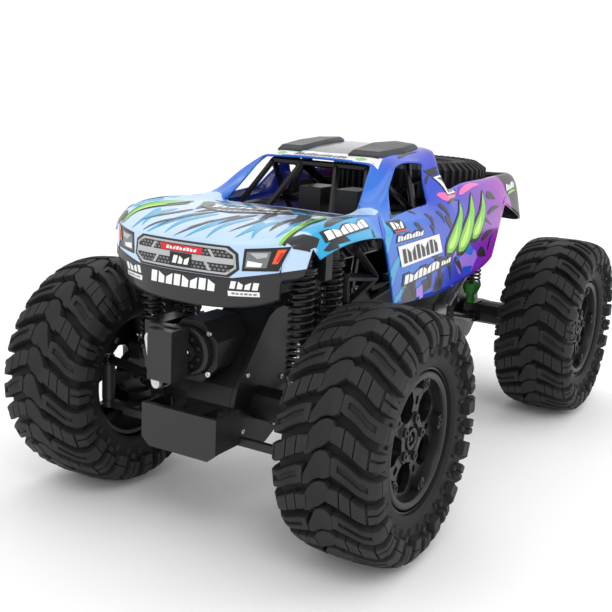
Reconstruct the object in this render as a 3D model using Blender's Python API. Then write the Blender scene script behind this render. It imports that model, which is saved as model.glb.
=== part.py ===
"""An electric rock-crawling monster truck: a painted shell over a tub chassis, live axles on six coil-overs.

The origin is on the ground midway between the axles, +Z is up, and the truck drives towards -Y, so its left
side is at +X. All sizes below are in millimetres, and node() turns them into metres.
"""

from math import atan2, cos, pi, radians, sin, sqrt

import bmesh
import bpy
from mathutils import Matrix, Vector

MM = 0.001

# Wheels and axles
WHEEL_RADIUS = 77.5
TRACK_HALF = 105.0
AXLE_Y = 177.25
AXLE_Z = WHEEL_RADIUS
TYRE_HALF_WIDTH = 33.0
TYRE_WALL = 3.2
BEAD_RADIUS = 44.0
BEAD_HALF_WIDTH = 25.0
RIM_LIP_RADIUS = 43.6
RIM_BORE_RADIUS = 39.5
RIM_OUTBOARD = 25.9
RIM_INBOARD = 22.8
WEB_OUTBOARD = 13.0
WEB_THICKNESS = 3.5
WHEEL_WINDOWS = 5
WINDOW_OUTER, WINDOW_INNER, WINDOW_LEAN = 30.5, 16.0, 39.0
WHEEL_SIDES = 28
STUB_RADIUS = 4.0
KINGPIN_X = 80.0
KINGPIN_RADIUS = 2.5
POST_X = 85.0
STEER_Y = -AXLE_Y - 27.75
HORN_TOP = (-32.0, 121.0)
HORN_FOOT = (-27.0, 93.0)
POST_LOW, POST_HIGH = 66.0, 90.0
EYE_RADIUS = 4.2
GAP = 0.35

# Drive: the motor's pinion turns a crown gear, whose shaft carries a spur that turns the axle's ring gear
MOTOR_X = {"front": -10.0, "rear": -4.2}
TUBE_END = {"front": 62.0, "rear": 76.0}
TUBE_RADIUS = 11.0
MOTOR_RADIUS = 15.5
MOTOR_FRAME_HALF = 19.0
MOTOR_AHEAD = 39.0
MOTOR_BEHIND = -1.0
RING_TEETH = 28
COUNTER_TEETH = 20
PINION_TEETH = 8
COUNTER_BEHIND = 21.25
RING_MODULE = 1.77
GEAR_X = 8.0
GEAR_WIDTH = 6.0
CROWN_RADIUS = 13.0
CENTRE_DISTANCE = RING_MODULE * (RING_TEETH + COUNTER_TEETH) / 2
COUNTER_Z = AXLE_Z + sqrt(CENTRE_DISTANCE**2 - COUNTER_BEHIND**2)

# Suspension
# Each shock: its place, how far out it stands, and how far behind the axle
SHOCKS = {
    "front": {"fore": (56.0, -17.0), "aft": (56.0, 17.0)},
    "rear": {"aft": (30.0, -22.0)},
}
SHOCK_TOP = 180.0
SHOCK_FOOT = 92.0
CYLINDER_RADIUS = 5.0
CYLINDER_LOW = 128.0
SHAFT_RADIUS = 2.0
PERCH_TOP = 108.0
LINK_X = 30.0
LINK_CHASSIS_Y = 92.0
LINK_CHASSIS_Z = 90.0
LINK_AXLE_Y = 158.0
LINK_AXLE_Z = 74.0

# Chassis tub
TUB_HALF_WIDTH = 36.0
TUB_HALF_LENGTH = 108.0
TUB_LOW = 97.0
TUB_HIGH = 138.0
TUB_WALL = 2.5
DECK_LOW = 152.0
DECK_HIGH = 158.0
RAILS_X = {"front": (22.0, 34.0), "rear": (9.0, 20.0)}

# Spare wheel, flat in the bed
SPARE_RADIUS = 63.0
SPARE_LOW, SPARE_TOP = 191.5, 223.0
SPARE_Y = 66.0

# Looks: colour, roughness, metallic
LOOKS = {
    "black_plastic": ((0.018, 0.018, 0.020), 0.45, 0.0),
    "satin_black": ((0.012, 0.012, 0.013), 0.35, 0.0),
    "rubber": ((0.022, 0.022, 0.023), 0.75, 0.0),
    "paint": ((0.10, 0.40, 0.85), 0.22, 0.0),
    "steel": ((0.55, 0.55, 0.56), 0.30, 1.0),
    "green": ((0.03, 0.30, 0.05), 0.35, 0.0),
    "battery": ((0.05, 0.12, 0.45), 0.40, 0.0),
    "board": ((0.02, 0.20, 0.08), 0.50, 0.0),
    "white_plastic": ((0.75, 0.75, 0.72), 0.40, 0.0),
}

AXES = {"x": Vector((1, 0, 0)), "y": Vector((0, 1, 0)), "z": Vector((0, 0, 1))}


# ---------------------------------------------------------------- shapes, each a closed bmesh in millimetres


def finished(bm):
    bmesh.ops.remove_doubles(bm, verts=bm.verts, dist=1e-4)
    bmesh.ops.recalc_face_normals(bm, faces=bm.faces)
    return bm


def block(low, high):
    """A box between any two opposite corners."""
    bm = bmesh.new()
    pairs = list(zip(low, high))
    low, high = Vector([min(pair) for pair in pairs]), Vector([max(pair) for pair in pairs])
    size = Matrix.Diagonal((*(high - low), 1.0))
    bmesh.ops.create_cube(bm, size=1.0, matrix=Matrix.Translation((low + high) / 2) @ size)
    return finished(bm)


def rod(start, end, radius, sides=12, end_radius=None):
    """A round bar from start to end, tapered where end_radius is given."""
    start, end = Vector(start), Vector(end)
    along = end - start
    turn = along.to_track_quat("Z", "Y").to_matrix().to_4x4()
    bm = bmesh.new()
    bmesh.ops.create_cone(
        bm,
        cap_ends=True,
        segments=sides,
        radius1=radius,
        radius2=radius if end_radius is None else end_radius,
        depth=along.length,
        matrix=Matrix.Translation((start + end) / 2) @ turn,
    )
    return finished(bm)


def turned(profile, centre, axis, sides):
    """Spins a closed profile of (radius, distance along the axis) points, with a flat side at the bottom."""
    along = AXES[axis]
    out = Matrix.Rotation(pi / sides, 3, along) @ (AXES["z"] if axis != "z" else AXES["x"])
    centre = Vector(centre)
    bm = bmesh.new()
    points = [bm.verts.new(centre + out * radius + along * reach) for radius, reach in profile]
    edges = [bm.edges.new((points[i - 1], points[i])) for i in range(len(points))]
    bmesh.ops.spin(
        bm, geom=points + edges, cent=centre, axis=along, angle=2 * pi, steps=sides, use_merge=True
    )
    bmesh.ops.delete(bm, geom=[edge for edge in bm.edges if not edge.link_faces], context="EDGES")
    return finished(bm)


def prism(outline, axis, low, high):
    """Extrudes a flat outline along an axis; its points are the other two coordinates, in X, Y, Z order."""
    order = {"x": lambda a, b: (low, a, b), "y": lambda a, b: (a, low, b), "z": lambda a, b: (a, b, low)}
    place = order[axis]
    bm = bmesh.new()
    face = bm.faces.new([bm.verts.new(place(a, b)) for a, b in outline])
    made = bmesh.ops.extrude_face_region(bm, geom=[face])["geom"]
    verts = [item for item in made if isinstance(item, bmesh.types.BMVert)]
    bmesh.ops.translate(bm, vec=AXES[axis] * (high - low), verts=verts)
    return finished(bm)


def arc(centre, radius, start, end, steps):
    """Points on a circle from start to end degrees."""
    turns = [radians(start + (end - start) * i / steps) for i in range(steps + 1)]
    return [(centre[0] + radius * cos(t), centre[1] + radius * sin(t)) for t in turns]


def teeth(count, pitch_radius, height, centre, phase=0.0):
    """A spur gear's outline: trapezium teeth, thinner than their gaps for backlash."""
    points = []
    for i in range(count):
        for share, radius in ((-0.22, -1.1), (-0.11, 0.85), (0.11, 0.85), (0.22, -1.1)):
            turn = 2 * pi * (i + share) / count + phase
            reach = pitch_radius + radius * height
            points.append((centre[0] + reach * cos(turn), centre[1] + reach * sin(turn)))
    return points


# ---------------------------------------------------------------- objects


def look(name):
    material = bpy.data.materials.get(name) or bpy.data.materials.new(name)
    colour, roughness, metallic = LOOKS[name]
    material.use_nodes = True
    shader = material.node_tree.nodes["Principled BSDF"]
    shader.inputs["Base Color"].default_value = (*colour, 1.0)
    shader.inputs["Roughness"].default_value = roughness
    shader.inputs["Metallic"].default_value = metallic
    material.diffuse_color = (*colour, 1.0)
    return material


def mesh_object(name, shapes, origin):
    """One object that holds every shape, its origin at the given point."""
    joined = bmesh.new()
    for shape in shapes:
        part = bpy.data.meshes.new("shape")
        shape.to_mesh(part)
        shape.free()
        joined.from_mesh(part)
        bpy.data.meshes.remove(part)
    bmesh.ops.translate(joined, vec=-Vector(origin), verts=joined.verts)
    bmesh.ops.scale(joined, vec=(MM, MM, MM), verts=joined.verts)
    mesh = bpy.data.meshes.new(name)
    joined.to_mesh(mesh)
    joined.free()
    mesh.shade_smooth()
    mesh.set_sharp_from_angle(angle=radians(35))
    obj = bpy.data.objects.new(name, mesh)
    obj.location = Vector(origin) * MM
    bpy.context.scene.collection.objects.link(obj)
    return obj


def helper(name, shapes, origin):
    obj = mesh_object(name, shapes, origin)
    obj.hide_render = True
    obj.display_type = "WIRE"
    return obj


def node(name, finish, shapes, cuts=(), origin=(0, 0, 0)):
    """One sub-part: the first shape, united with the others, less the cuts."""
    obj = mesh_object(name, shapes[:1], origin)
    obj.data.materials.append(look(finish))
    for operation, extra in (("UNION", shapes[1:]), ("DIFFERENCE", cuts)):
        if extra:
            modifier = obj.modifiers.new(operation.title(), "BOOLEAN")
            modifier.operation = operation
            modifier.solver = "EXACT"
            modifier.use_self = True
            modifier.object = helper(f"{name}_{operation.lower()}", extra, origin)
    return obj


# ---------------------------------------------------------------- wheels


def tyre_profile():
    """A low-profile balloon with a flat crown and two beads, open towards the rim."""
    w, r, shrink = TYRE_HALF_WIDTH, WHEEL_RADIUS / cos(pi / WHEEL_SIDES), TYRE_WALL
    outside = [(BEAD_RADIUS, -BEAD_HALF_WIDTH), (57, -w + 0.5), (71, -w), (r, -w + 9)]
    inside = [(BEAD_RADIUS, BEAD_HALF_WIDTH - shrink), (57, w - shrink), (71, w - shrink)]
    inside.append((r - shrink, w - 10))
    outside += [(radius, -along) for radius, along in reversed(outside)]
    inside += [(radius, -along) for radius, along in reversed(inside)]
    return outside + inside


def tyre(name, x, y):
    side = 1 if x > 0 else -1
    profile = [(radius, side * along) for radius, along in tyre_profile()]
    node(name, "rubber", [turned(profile, (x, y, AXLE_Z), "x", WHEEL_SIDES)], origin=(x, y, AXLE_Z))


def rim_profile():
    """A barrel with a lip at each end and one web, inset from the outer face."""
    lip, bore = RIM_LIP_RADIUS, RIM_BORE_RADIUS
    web, back = WEB_OUTBOARD, WEB_OUTBOARD - WEB_THICKNESS
    return [
        (lip, -RIM_INBOARD),
        (lip, RIM_OUTBOARD - 3.0),
        (bore + 0.9, RIM_OUTBOARD),
        (bore - 2.0, RIM_OUTBOARD),
        (bore - 3.0, web),
        (13.0, web),
        (11.0, web + 3.0),
        (STUB_RADIUS, web + 3.0),
        (STUB_RADIUS, -2.0),
        (9.0, -2.0),
        (9.0, back),
        (bore, back),
        (bore, -RIM_INBOARD),
    ]


def rim(name, x, y, stub_length):
    """The wheel with five windows in its web, its axle stub and its nut."""
    side = 1 if x > 0 else -1
    centre = Vector((x, y, AXLE_Z))
    profile = [(radius, side * along) for radius, along in rim_profile()]
    nut = x + side * (WEB_OUTBOARD + 8.0)
    stub = rod((x - side * stub_length, y, AXLE_Z), (nut, y, AXLE_Z), STUB_RADIUS + 0.2, 12)
    windows = []
    for i in range(WHEEL_WINDOWS):
        turn = WINDOW_LEAN + 360 * i / WHEEL_WINDOWS
        outline = arc((y, AXLE_Z), WINDOW_OUTER, turn - 15, turn + 15, 3)
        outline += arc((y, AXLE_Z), WINDOW_INNER, turn + 13, turn - 13, 2)
        ends = sorted((x + side * (WEB_OUTBOARD - 6.0), x + side * (WEB_OUTBOARD + 2.5)))
        windows.append(prism(outline, "x", *ends))
    node(name, "satin_black", [turned(profile, centre, "x", WHEEL_SIDES), stub], windows, centre)


def wheels():
    for end, y in (("front", -AXLE_Y), ("rear", AXLE_Y)):
        for side, x in (("left", TRACK_HALF), ("right", -TRACK_HALF)):
            tyre(f"{end}_{side}_tyre", x, y)
            rim(f"{end}_{side}_rim", x, y, 27.0 if end == "front" else 25.0)


# ---------------------------------------------------------------- axles and drive


def case_outline(y, grow):
    """The gearbox's side view: one circle round the ring gear, one round the counter shaft."""
    behind = y + COUNTER_BEHIND
    ring = RING_MODULE * (RING_TEETH / 2 + 1) + grow
    counter = RING_MODULE * (COUNTER_TEETH / 2 + 1) + grow
    lean = 60.0
    outline = arc((y, AXLE_Z), ring, lean + 90, lean + 270, 8)
    return outline + arc((behind, COUNTER_Z), counter, lean - 90, lean + 90, 8)


def axle_case(end, y):
    """Two halves that meet beside the ring gear, each with a tube that carries the wheel's bearings."""
    out = -1 if end == "front" else 1
    bracket_y = y - out * (AXLE_Y - LINK_AXLE_Y - 3.5)
    tips = TUBE_END[end]
    motor_x = MOTOR_X[end]

    def on_motor(ahead):
        return motor_x, y + out * ahead, COUNTER_Z

    motor = octagon((motor_x, COUNTER_Z), MOTOR_FRAME_HALF)
    motor_ends = sorted((y + out * (MOTOR_AHEAD - 4), y + out * MOTOR_BEHIND))
    right = [
        prism(mirror_outline(case_outline(-AXLE_Y, 3.5), out), "x", -18.0, 15.0),
        rod((-tips, y, AXLE_Z), (-15, y, AXLE_Z), TUBE_RADIUS, 16),
        prism(motor, "y", *motor_ends),
    ]
    cavity = [
        prism(mirror_outline(case_outline(-AXLE_Y, 1.2), out), "x", -7.5, 16.0),
        rod((-tips - 3, y, AXLE_Z), (-7, y, AXLE_Z), STUB_RADIUS + 1.0, 12),
        rod(on_motor(60), on_motor(MOTOR_BEHIND + 2), MOTOR_RADIUS + GAP, 20),
        rod(on_motor(10), on_motor(-17.5), 7.0, 12),
    ]
    left = [
        prism(mirror_outline(case_outline(-AXLE_Y, 3.5), out), "x", 15.3, 18.5),
        rod((17, y, AXLE_Z), (tips, y, AXLE_Z), TUBE_RADIUS, 16),
    ]
    bore = [rod((14, y, AXLE_Z), (tips + 3, y, AXLE_Z), STUB_RADIUS + 1.0, 12)]
    for side, shapes in ((-1, right), (1, left)):
        shapes += shock_feet(end, side, y)
        shapes += link_bracket(side, y, bracket_y)
        if end == "front":
            shapes += c_hub(side, y)
    kingpins = [
        rod((side * KINGPIN_X, y, 30), (side * KINGPIN_X, y, 125), KINGPIN_RADIUS + GAP, 12)
        for side in (-1, 1)
    ]
    node(f"{end}_axle_case_right", "black_plastic", right, cavity + kingpins[:1])
    node(f"{end}_axle_case_left", "black_plastic", left, bore + kingpins[1:])


def octagon(centre, half):
    return arc(centre, half / cos(pi / 8), 22.5, 337.5, 7)


def mirror_outline(outline, out):
    """Side views are drawn for the front axle, which points towards -Y; the rear one is turned round."""
    return outline if out < 0 else [(-a, b) for a, b in reversed(outline)]


def shock_feet(end, side, y):
    """A saddle over the tube with a ledge under each shock."""
    feet = []
    for reach, shift in SHOCKS[end].values():
        x = side * reach
        low, high = sorted((y, y + shift))
        feet.append(block((x - 4, low - 5, AXLE_Z + 5), (x + 4, high + 5, AXLE_Z + 11)))
        feet.append(block((x - 6, y - 12, AXLE_Z - 6), (x + 6, y + 12, AXLE_Z + 9)))
    return feet


def link_bracket(side, y, bracket_y):
    """A lug that the lower link's end reaches towards."""
    x = side * LINK_X
    low, high = sorted((y, bracket_y))
    return [block((x - 4, low, LINK_AXLE_Z - 4), (x + 4, high, LINK_AXLE_Z + 4))]


def c_hub(side, y):
    """Upper and lower ears that hold the kingpins."""
    ears = []
    for low, high in ((AXLE_Z + 18, AXLE_Z + 23), (AXLE_Z - 23, AXLE_Z - 18)):
        xs = sorted((side * 60.0, side * (KINGPIN_X + 5)))
        ears.append(block((xs[0], y - 8, low), (xs[1], y + 8, high)))
    xs = sorted((side * 60.0, side * 64.0))
    ears.append(block((xs[0], y - 9, AXLE_Z - 23), (xs[1], y + 9, AXLE_Z + 23)))
    return ears


def drive(end, y):
    """The axle shaft with its ring gear, the counter shaft, the pinion and the motor."""
    out = -1 if end == "front" else 1
    motor_x = MOTOR_X[end]
    counter_y = y - out * COUNTER_BEHIND
    shaft_end = 73.0 if end == "front" else 79.6
    lean = atan2(COUNTER_Z - AXLE_Z, counter_y - y)
    ring_phase = lean + pi / RING_TEETH
    ring = prism(
        teeth(RING_TEETH, RING_MODULE * RING_TEETH / 2, RING_MODULE, (y, AXLE_Z), ring_phase),
        "x", GEAR_X, GEAR_X + GEAR_WIDTH,
    )
    shaft = rod((-shaft_end, y, AXLE_Z), (shaft_end, y, AXLE_Z), STUB_RADIUS, 12)
    cups = []
    if end == "front":
        for side in (-1, 1):
            cups.append(rod((side * 65.0, y, AXLE_Z), (side * 76.0, y, AXLE_Z), 7.0, 12))
    node(f"{end}_axle_shaft", "steel", [ring, shaft] + cups, origin=(0, y, AXLE_Z))

    spur = prism(
        teeth(COUNTER_TEETH, RING_MODULE * COUNTER_TEETH / 2, RING_MODULE, (counter_y, COUNTER_Z), lean + pi),
        "x", GEAR_X, GEAR_X + GEAR_WIDTH,
    )
    crown_x = motor_x + CROWN_RADIUS * PINION_TEETH / COUNTER_TEETH
    core_ends = (crown_x + 1.5, counter_y, COUNTER_Z), (GEAR_X + 1, counter_y, COUNTER_Z)
    core = rod(*core_ends, CROWN_RADIUS + 2.5, 24)
    axle = rod((crown_x + 1.0, counter_y, COUNTER_Z), (14.6, counter_y, COUNTER_Z), 2.5, 10)
    shapes = [spur, core, axle] + crown_teeth(crown_x, counter_y)
    node(f"{end}_counter_gear", "white_plastic", shapes, origin=(0, counter_y, COUNTER_Z))

    module = 2 * CROWN_RADIUS / COUNTER_TEETH
    centre = (motor_x, COUNTER_Z)
    face = counter_y + out * CROWN_RADIUS
    pinion_ends = sorted((face - 3.2, face + 3.2))
    outline = teeth(PINION_TEETH, module * PINION_TEETH / 2, module * 0.9, centre, pi / PINION_TEETH)
    pinion = prism(outline, "y", *pinion_ends)
    spindle_end = y - out * (MOTOR_BEHIND + 0.5)
    spindle = rod((motor_x, face, COUNTER_Z), (motor_x, spindle_end, COUNTER_Z), 1.8, 10)
    node(f"{end}_motor_pinion", "steel", [pinion, spindle], origin=(motor_x, y, COUNTER_Z))

    can_ends = (y + out * MOTOR_AHEAD, y + out * (MOTOR_BEHIND + 2.5))
    can = rod((motor_x, can_ends[0], COUNTER_Z), (motor_x, can_ends[1], COUNTER_Z), MOTOR_RADIUS, 20)
    node(f"{end}_motor", "black_plastic", [can])


def crown_teeth(crown_x, counter_y):
    """The crown gear's teeth stand out of its face towards the pinion."""
    made = []
    for i in range(COUNTER_TEETH):
        turn = 2 * pi * i / COUNTER_TEETH
        tooth = block((crown_x - 0.6, -0.5, CROWN_RADIUS - 2.2), (crown_x + 2.2, 0.5, CROWN_RADIUS + 2.2))
        bmesh.ops.rotate(tooth, cent=(0, 0, 0), matrix=Matrix.Rotation(turn, 3, "X"), verts=tooth.verts)
        bmesh.ops.translate(tooth, vec=(0, counter_y, COUNTER_Z), verts=tooth.verts)
        made.append(tooth)
    return made


# ---------------------------------------------------------------- steering


def knuckle(name, side):
    """A bearing carrier on two kingpins, with an arm that ends in the upright post."""
    y = -AXLE_Y
    carrier = rod((side * 84.0, y, AXLE_Z), (side * 90.5, y, AXLE_Z), 15.0, 20)
    shapes = [
        carrier,
        block((side * 76.5, y - 7, AXLE_Z - 17.5), (side * 86.0, y + 7, AXLE_Z - 12)),
        block((side * 76.5, y - 7, AXLE_Z + 12), (side * 86.0, y + 7, AXLE_Z + 17.5)),
        rod((side * KINGPIN_X, y, AXLE_Z + 13), (side * KINGPIN_X, y, AXLE_Z + 27), KINGPIN_RADIUS, 12),
        rod((side * KINGPIN_X, y, AXLE_Z - 13), (side * KINGPIN_X, y, AXLE_Z - 27), KINGPIN_RADIUS, 12),
        block((side * 82.0, STEER_Y, AXLE_Z - 3), (side * 88.0, y - 10, AXLE_Z + 5)),
        rod((side * POST_X, STEER_Y, POST_LOW), (side * POST_X, STEER_Y, POST_HIGH), 4.5, 12),
    ]
    bore = [rod((side * 70.0, y, AXLE_Z), (side * 95.0, y, AXLE_Z), STUB_RADIUS + 0.6, 12)]
    node(name, "black_plastic", shapes, bore, (side * KINGPIN_X, y, AXLE_Z))


def steering():
    for name, side in (("steering_knuckle_left", 1), ("steering_knuckle_right", -1)):
        knuckle(name, side)
    y = -AXLE_Y
    servo = [
        block((-42.0, y - 42, 99.0), (-29.5, y - 14, 130)),
        block((-36.0, y - 45.5, 99.0), (-9, y - 40, 130)),
        block((-12.0, y - 52, 99.0), (-9, y - 42, 130)),
        block((-27.5, y - 57, 98), (-9, y - 50.6, 130)),
    ]
    node("steering_servo", "satin_black", servo)
    (top_x, top_z), (foot_x, foot_z) = HORN_TOP, HORN_FOOT
    lever = prism(lever_outline(HORN_TOP, HORN_FOOT, 4.0, 3.2), "y", y - 49.6, y - 46.6)
    node("servo_horn", "steel", [lever], origin=(top_x, y - 47.5, top_z))
    link = [
        rod((foot_x, y - 46.2, foot_z), (foot_x, y - 39.5, foot_z), 4.0, 12),
        rod((foot_x, y - 41.5, foot_z), (-POST_X, STEER_Y, 93.5), 3.0, 10),
        rod((-POST_X, STEER_Y, POST_HIGH + 0.6), (-POST_X, STEER_Y, POST_HIGH + 6), EYE_RADIUS, 12),
    ]
    node("drag_link", "black_plastic", link, origin=(foot_x, y - 42, foot_z))
    low = POST_LOW - 5.6
    tie = [block((-66, STEER_Y - 7, low), (66, STEER_Y - 3.4, low + 5))]
    for side in (-1, 1):
        tie.append(block((side * 60.0, STEER_Y - 7, low), (side * 66.0, STEER_Y + 2.2, low + 5)))
        tie.append(block((side * 60.0, STEER_Y - 2.2, low), (side * POST_X, STEER_Y + 2.2, low + 5)))
        tie.append(rod((side * POST_X, STEER_Y, low), (side * POST_X, STEER_Y, low + 5), EYE_RADIUS, 12))
    node("tie_rod", "black_plastic", tie, origin=(0, STEER_Y, low))


def lever_outline(top, foot, top_radius, foot_radius):
    """A flat arm with a round boss at each end."""
    lean = atan2(top[1] - foot[1], top[0] - foot[0]) * 180 / pi
    return arc(top, top_radius, lean - 90, lean + 90, 6) + arc(foot, foot_radius, lean + 90, lean + 270, 6)


def skid_plate():
    """The low plate ahead of the front axle, with side cheeks and an arm back to the axle case."""
    y = -AXLE_Y
    front = prism([(-28, 84), (-28, 62), (-22, 57), (22, 57), (28, 62), (28, 84)], "y", y - 61, y - 57)
    cheeks = [block((side * 25.0, y - 58, 62), (side * 28.0, y - 36, 84)) for side in (-1, 1)]
    arm = block((-8, y - 58, 74), (8, y - 31.5, 80))
    tray = block((-27, y - 58, 72), (27, y - 36, 75))
    node("front_skid_plate", "black_plastic", [front, tray, arm] + cheeks)


# ---------------------------------------------------------------- suspension


def shock(name, x, y):
    """A cylinder that hangs from the tower's pin, and a shaft with its spring perch on the axle's lug."""
    cap = rod((x, y, CYLINDER_LOW), (x, y, SHOCK_TOP + 5), CYLINDER_RADIUS, 12)
    collar = rod((x, y, SHOCK_TOP - 10), (x, y, SHOCK_TOP - 7), 8.3, 12)
    bore = rod((x, y, CYLINDER_LOW - 1), (x, y, SHOCK_TOP - 20), SHAFT_RADIUS + 0.6, 10)
    pin = rod((x, y - 9, SHOCK_TOP), (x, y + 9, SHOCK_TOP), 2.4 + GAP, 8)
    node(f"{name}_shock_cylinder", "satin_black", [cap, collar], [bore, pin])
    foot = AXLE_Z + 11 + GAP
    shaft = rod((x, y, foot + 1), (x, y, CYLINDER_LOW + 18), SHAFT_RADIUS, 10)
    perch = rod((x, y, PERCH_TOP - 10), (x, y, PERCH_TOP), 6.0, 12, 8.3)
    eye = rod((x, y, foot), (x, y, PERCH_TOP - 9), 4.0, 12)
    node(f"{name}_shock_shaft", "green", [perch, shaft, eye])


def shocks():
    for end, y in (("front", -AXLE_Y), ("rear", AXLE_Y)):
        for side, sign in (("left", 1), ("right", -1)):
            for place, (x, shift) in SHOCKS[end].items():
                shock(f"{end}_{side}_{place}", sign * x, y + shift)


def shock_tower(end, y):
    """A beam on two legs, with the pins that the shocks hang from."""
    reach = max(x for x, _ in SHOCKS[end].values()) + 8
    shifts = [shift for _, shift in SHOCKS[end].values()]
    beam_y = y + (0 if end == "front" else shifts[0] + 14)
    beam = block((-reach, beam_y - 4, SHOCK_TOP - 16), (reach, beam_y + 4, SHOCK_TOP + 3))
    shapes = [beam]
    for side in (-1, 1):
        inner, outer = RAILS_X[end]
        foot = (side * inner, beam_y - 4, DECK_HIGH + GAP)
        shapes.append(block(foot, (side * outer, beam_y + 4, SHOCK_TOP - 10)))
        for x, shift in SHOCKS[end].values():
            pin_y = y + shift
            low, high = min(pin_y - 7, beam_y), max(pin_y + 7, beam_y)
            shapes.append(rod((side * x, low, SHOCK_TOP), (side * x, high, SHOCK_TOP), 2.4, 8))
    node(f"{end}_shock_tower", "black_plastic", shapes)


def rear_struts():
    """Two bright bars on each side, from the tub's lower edge up to the rear deck."""
    for name, side in (("left", 1), ("right", -1)):
        bars = [
            rod((side * 40.0, 60, 101), (side * 40.0, 138, 147), 1.8, 8),
            rod((side * 45.0, 60, 101), (side * 45.0, 138, 147), 1.8, 8),
            block((side * 37.0, 55, 98), (side * 47.5, 63, 105)),
            block((side * 20.4, 135, 143.5), (side * 47.5, 142, 151)),
        ]
        node(f"rear_strut_{name}", "steel", bars)


def lower_link(name, side, y_sign):
    """A flat bar from its hinge under the tub to just short of the axle's lug."""
    x = side * LINK_X
    hinge = (x, y_sign * LINK_CHASSIS_Y, LINK_CHASSIS_Z)
    tip = (x, y_sign * LINK_AXLE_Y, LINK_AXLE_Z)
    eye = rod((x - 4, *hinge[1:]), (x + 4, *hinge[1:]), 5.0, 12)
    bar = rod(hinge, tip, 3.2, 10)
    hole = rod((x - 5, *hinge[1:]), (x + 5, *hinge[1:]), 2.0 + GAP, 10)
    node(name, "black_plastic", [eye, bar], [hole], hinge)


# ---------------------------------------------------------------- chassis and electronics


def chassis():
    w, l = TUB_HALF_WIDTH, TUB_HALF_LENGTH
    shapes = [block((-w, -l, TUB_LOW), (w, l, TUB_HIGH))]
    for end, reach, rails in ((-1, 218.0, RAILS_X["front"]), (1, 182.0, RAILS_X["rear"])):
        rail = [(l - 8, 126), (l - 8, TUB_HIGH), (l + 32, DECK_HIGH)]
        rail += [(reach, DECK_HIGH), (reach, DECK_LOW), (l + 35, DECK_LOW)]
        outline = [(end * a, b) for a, b in rail]
        for side in (-1, 1):
            shapes.append(prism(outline, "x", *sorted((side * rails[0], side * rails[1]))))
            shapes += link_ears(side * LINK_X, end * LINK_CHASSIS_Y)
        for y in (l + 40, AXLE_Y - 2, reach - 6):
            half = rails[0] + 1
            shapes.append(block((-half, end * (y - 4), DECK_LOW), (half, end * (y + 4), DECK_HIGH)))
    for side in (-1, 1):
        for y, x, z in ((-60.0, 76.0, 160.0), (48.0, 75.0, 162.0)):
            shapes.append(rod((side * (w - 1.2), y, 130), (side * x, y, z), 3.0, 8))
        shapes += arch_braces(side)
    cuts = [
        block((TUB_WALL - w, TUB_WALL - l, TUB_LOW + TUB_WALL), (w - TUB_WALL, l - TUB_WALL, TUB_HIGH + 30)),
        block((-27, -98, TUB_LOW - 5), (27, -2, TUB_LOW + 5)),
        block((-4, 84.5, TUB_LOW - 5), (4, 95.5, TUB_LOW + 5)),
    ]
    node("chassis_frame", "black_plastic", shapes, cuts)


def link_ears(x, y):
    """Two ears under the tub with the pin that the lower link turns on."""
    ears = [
        block((x + shift - 1.5, y - 5, LINK_CHASSIS_Z - 5), (x + shift + 1.5, y + 5, TUB_LOW + 1))
        for shift in (-6.5, 6.5)
    ]
    return ears + [rod((x - 7, y, LINK_CHASSIS_Z), (x + 7, y, LINK_CHASSIS_Z), 2.0, 10)]


def arch_braces(side):
    """The tubes that show through the front wheel arch."""
    joint = (side * 60.0, -106.0, 155.0)
    return [
        rod((side * 34.5, -100, 130), joint, 3.0, 8),
        rod((side * 60.0, -137, 178), joint, 2.6, 8),
        rod((side * 60.0, -148, 161), joint, 2.6, 8),
        rod((side * 60.0, -147, 163), (side * 60.0, -146, 145), 2.2, 8),
    ]


def electronics():
    node("battery_pack", "battery", [block((-24, -94, 100.2), (24, -6, 122))])
    node("battery_door", "black_plastic", [block((-26.6, -97.6, 97.1), (26.6, -2.4, 99.4))])
    board = [
        block((-28, 8, 102.5), (28, 72, 104.5)),
        block((-20, 20, 104), (-6, 34, 108)),
        block((6, 24, 104), (20, 52, 110)),
        block((-18, 44, 104), (-4, 58, 112)),
    ]
    node("circuit_board", "board", board)
    button, flange = block((-2.5, 85.5, 94.5), (2.5, 90.5, 100)), block((-6, 82, 99.9), (6, 94, 101.4))
    node("power_switch", "white_plastic", [button, flange], origin=(0, 88, 97))


# ---------------------------------------------------------------- body shell, cage, bed and spare wheel


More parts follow.
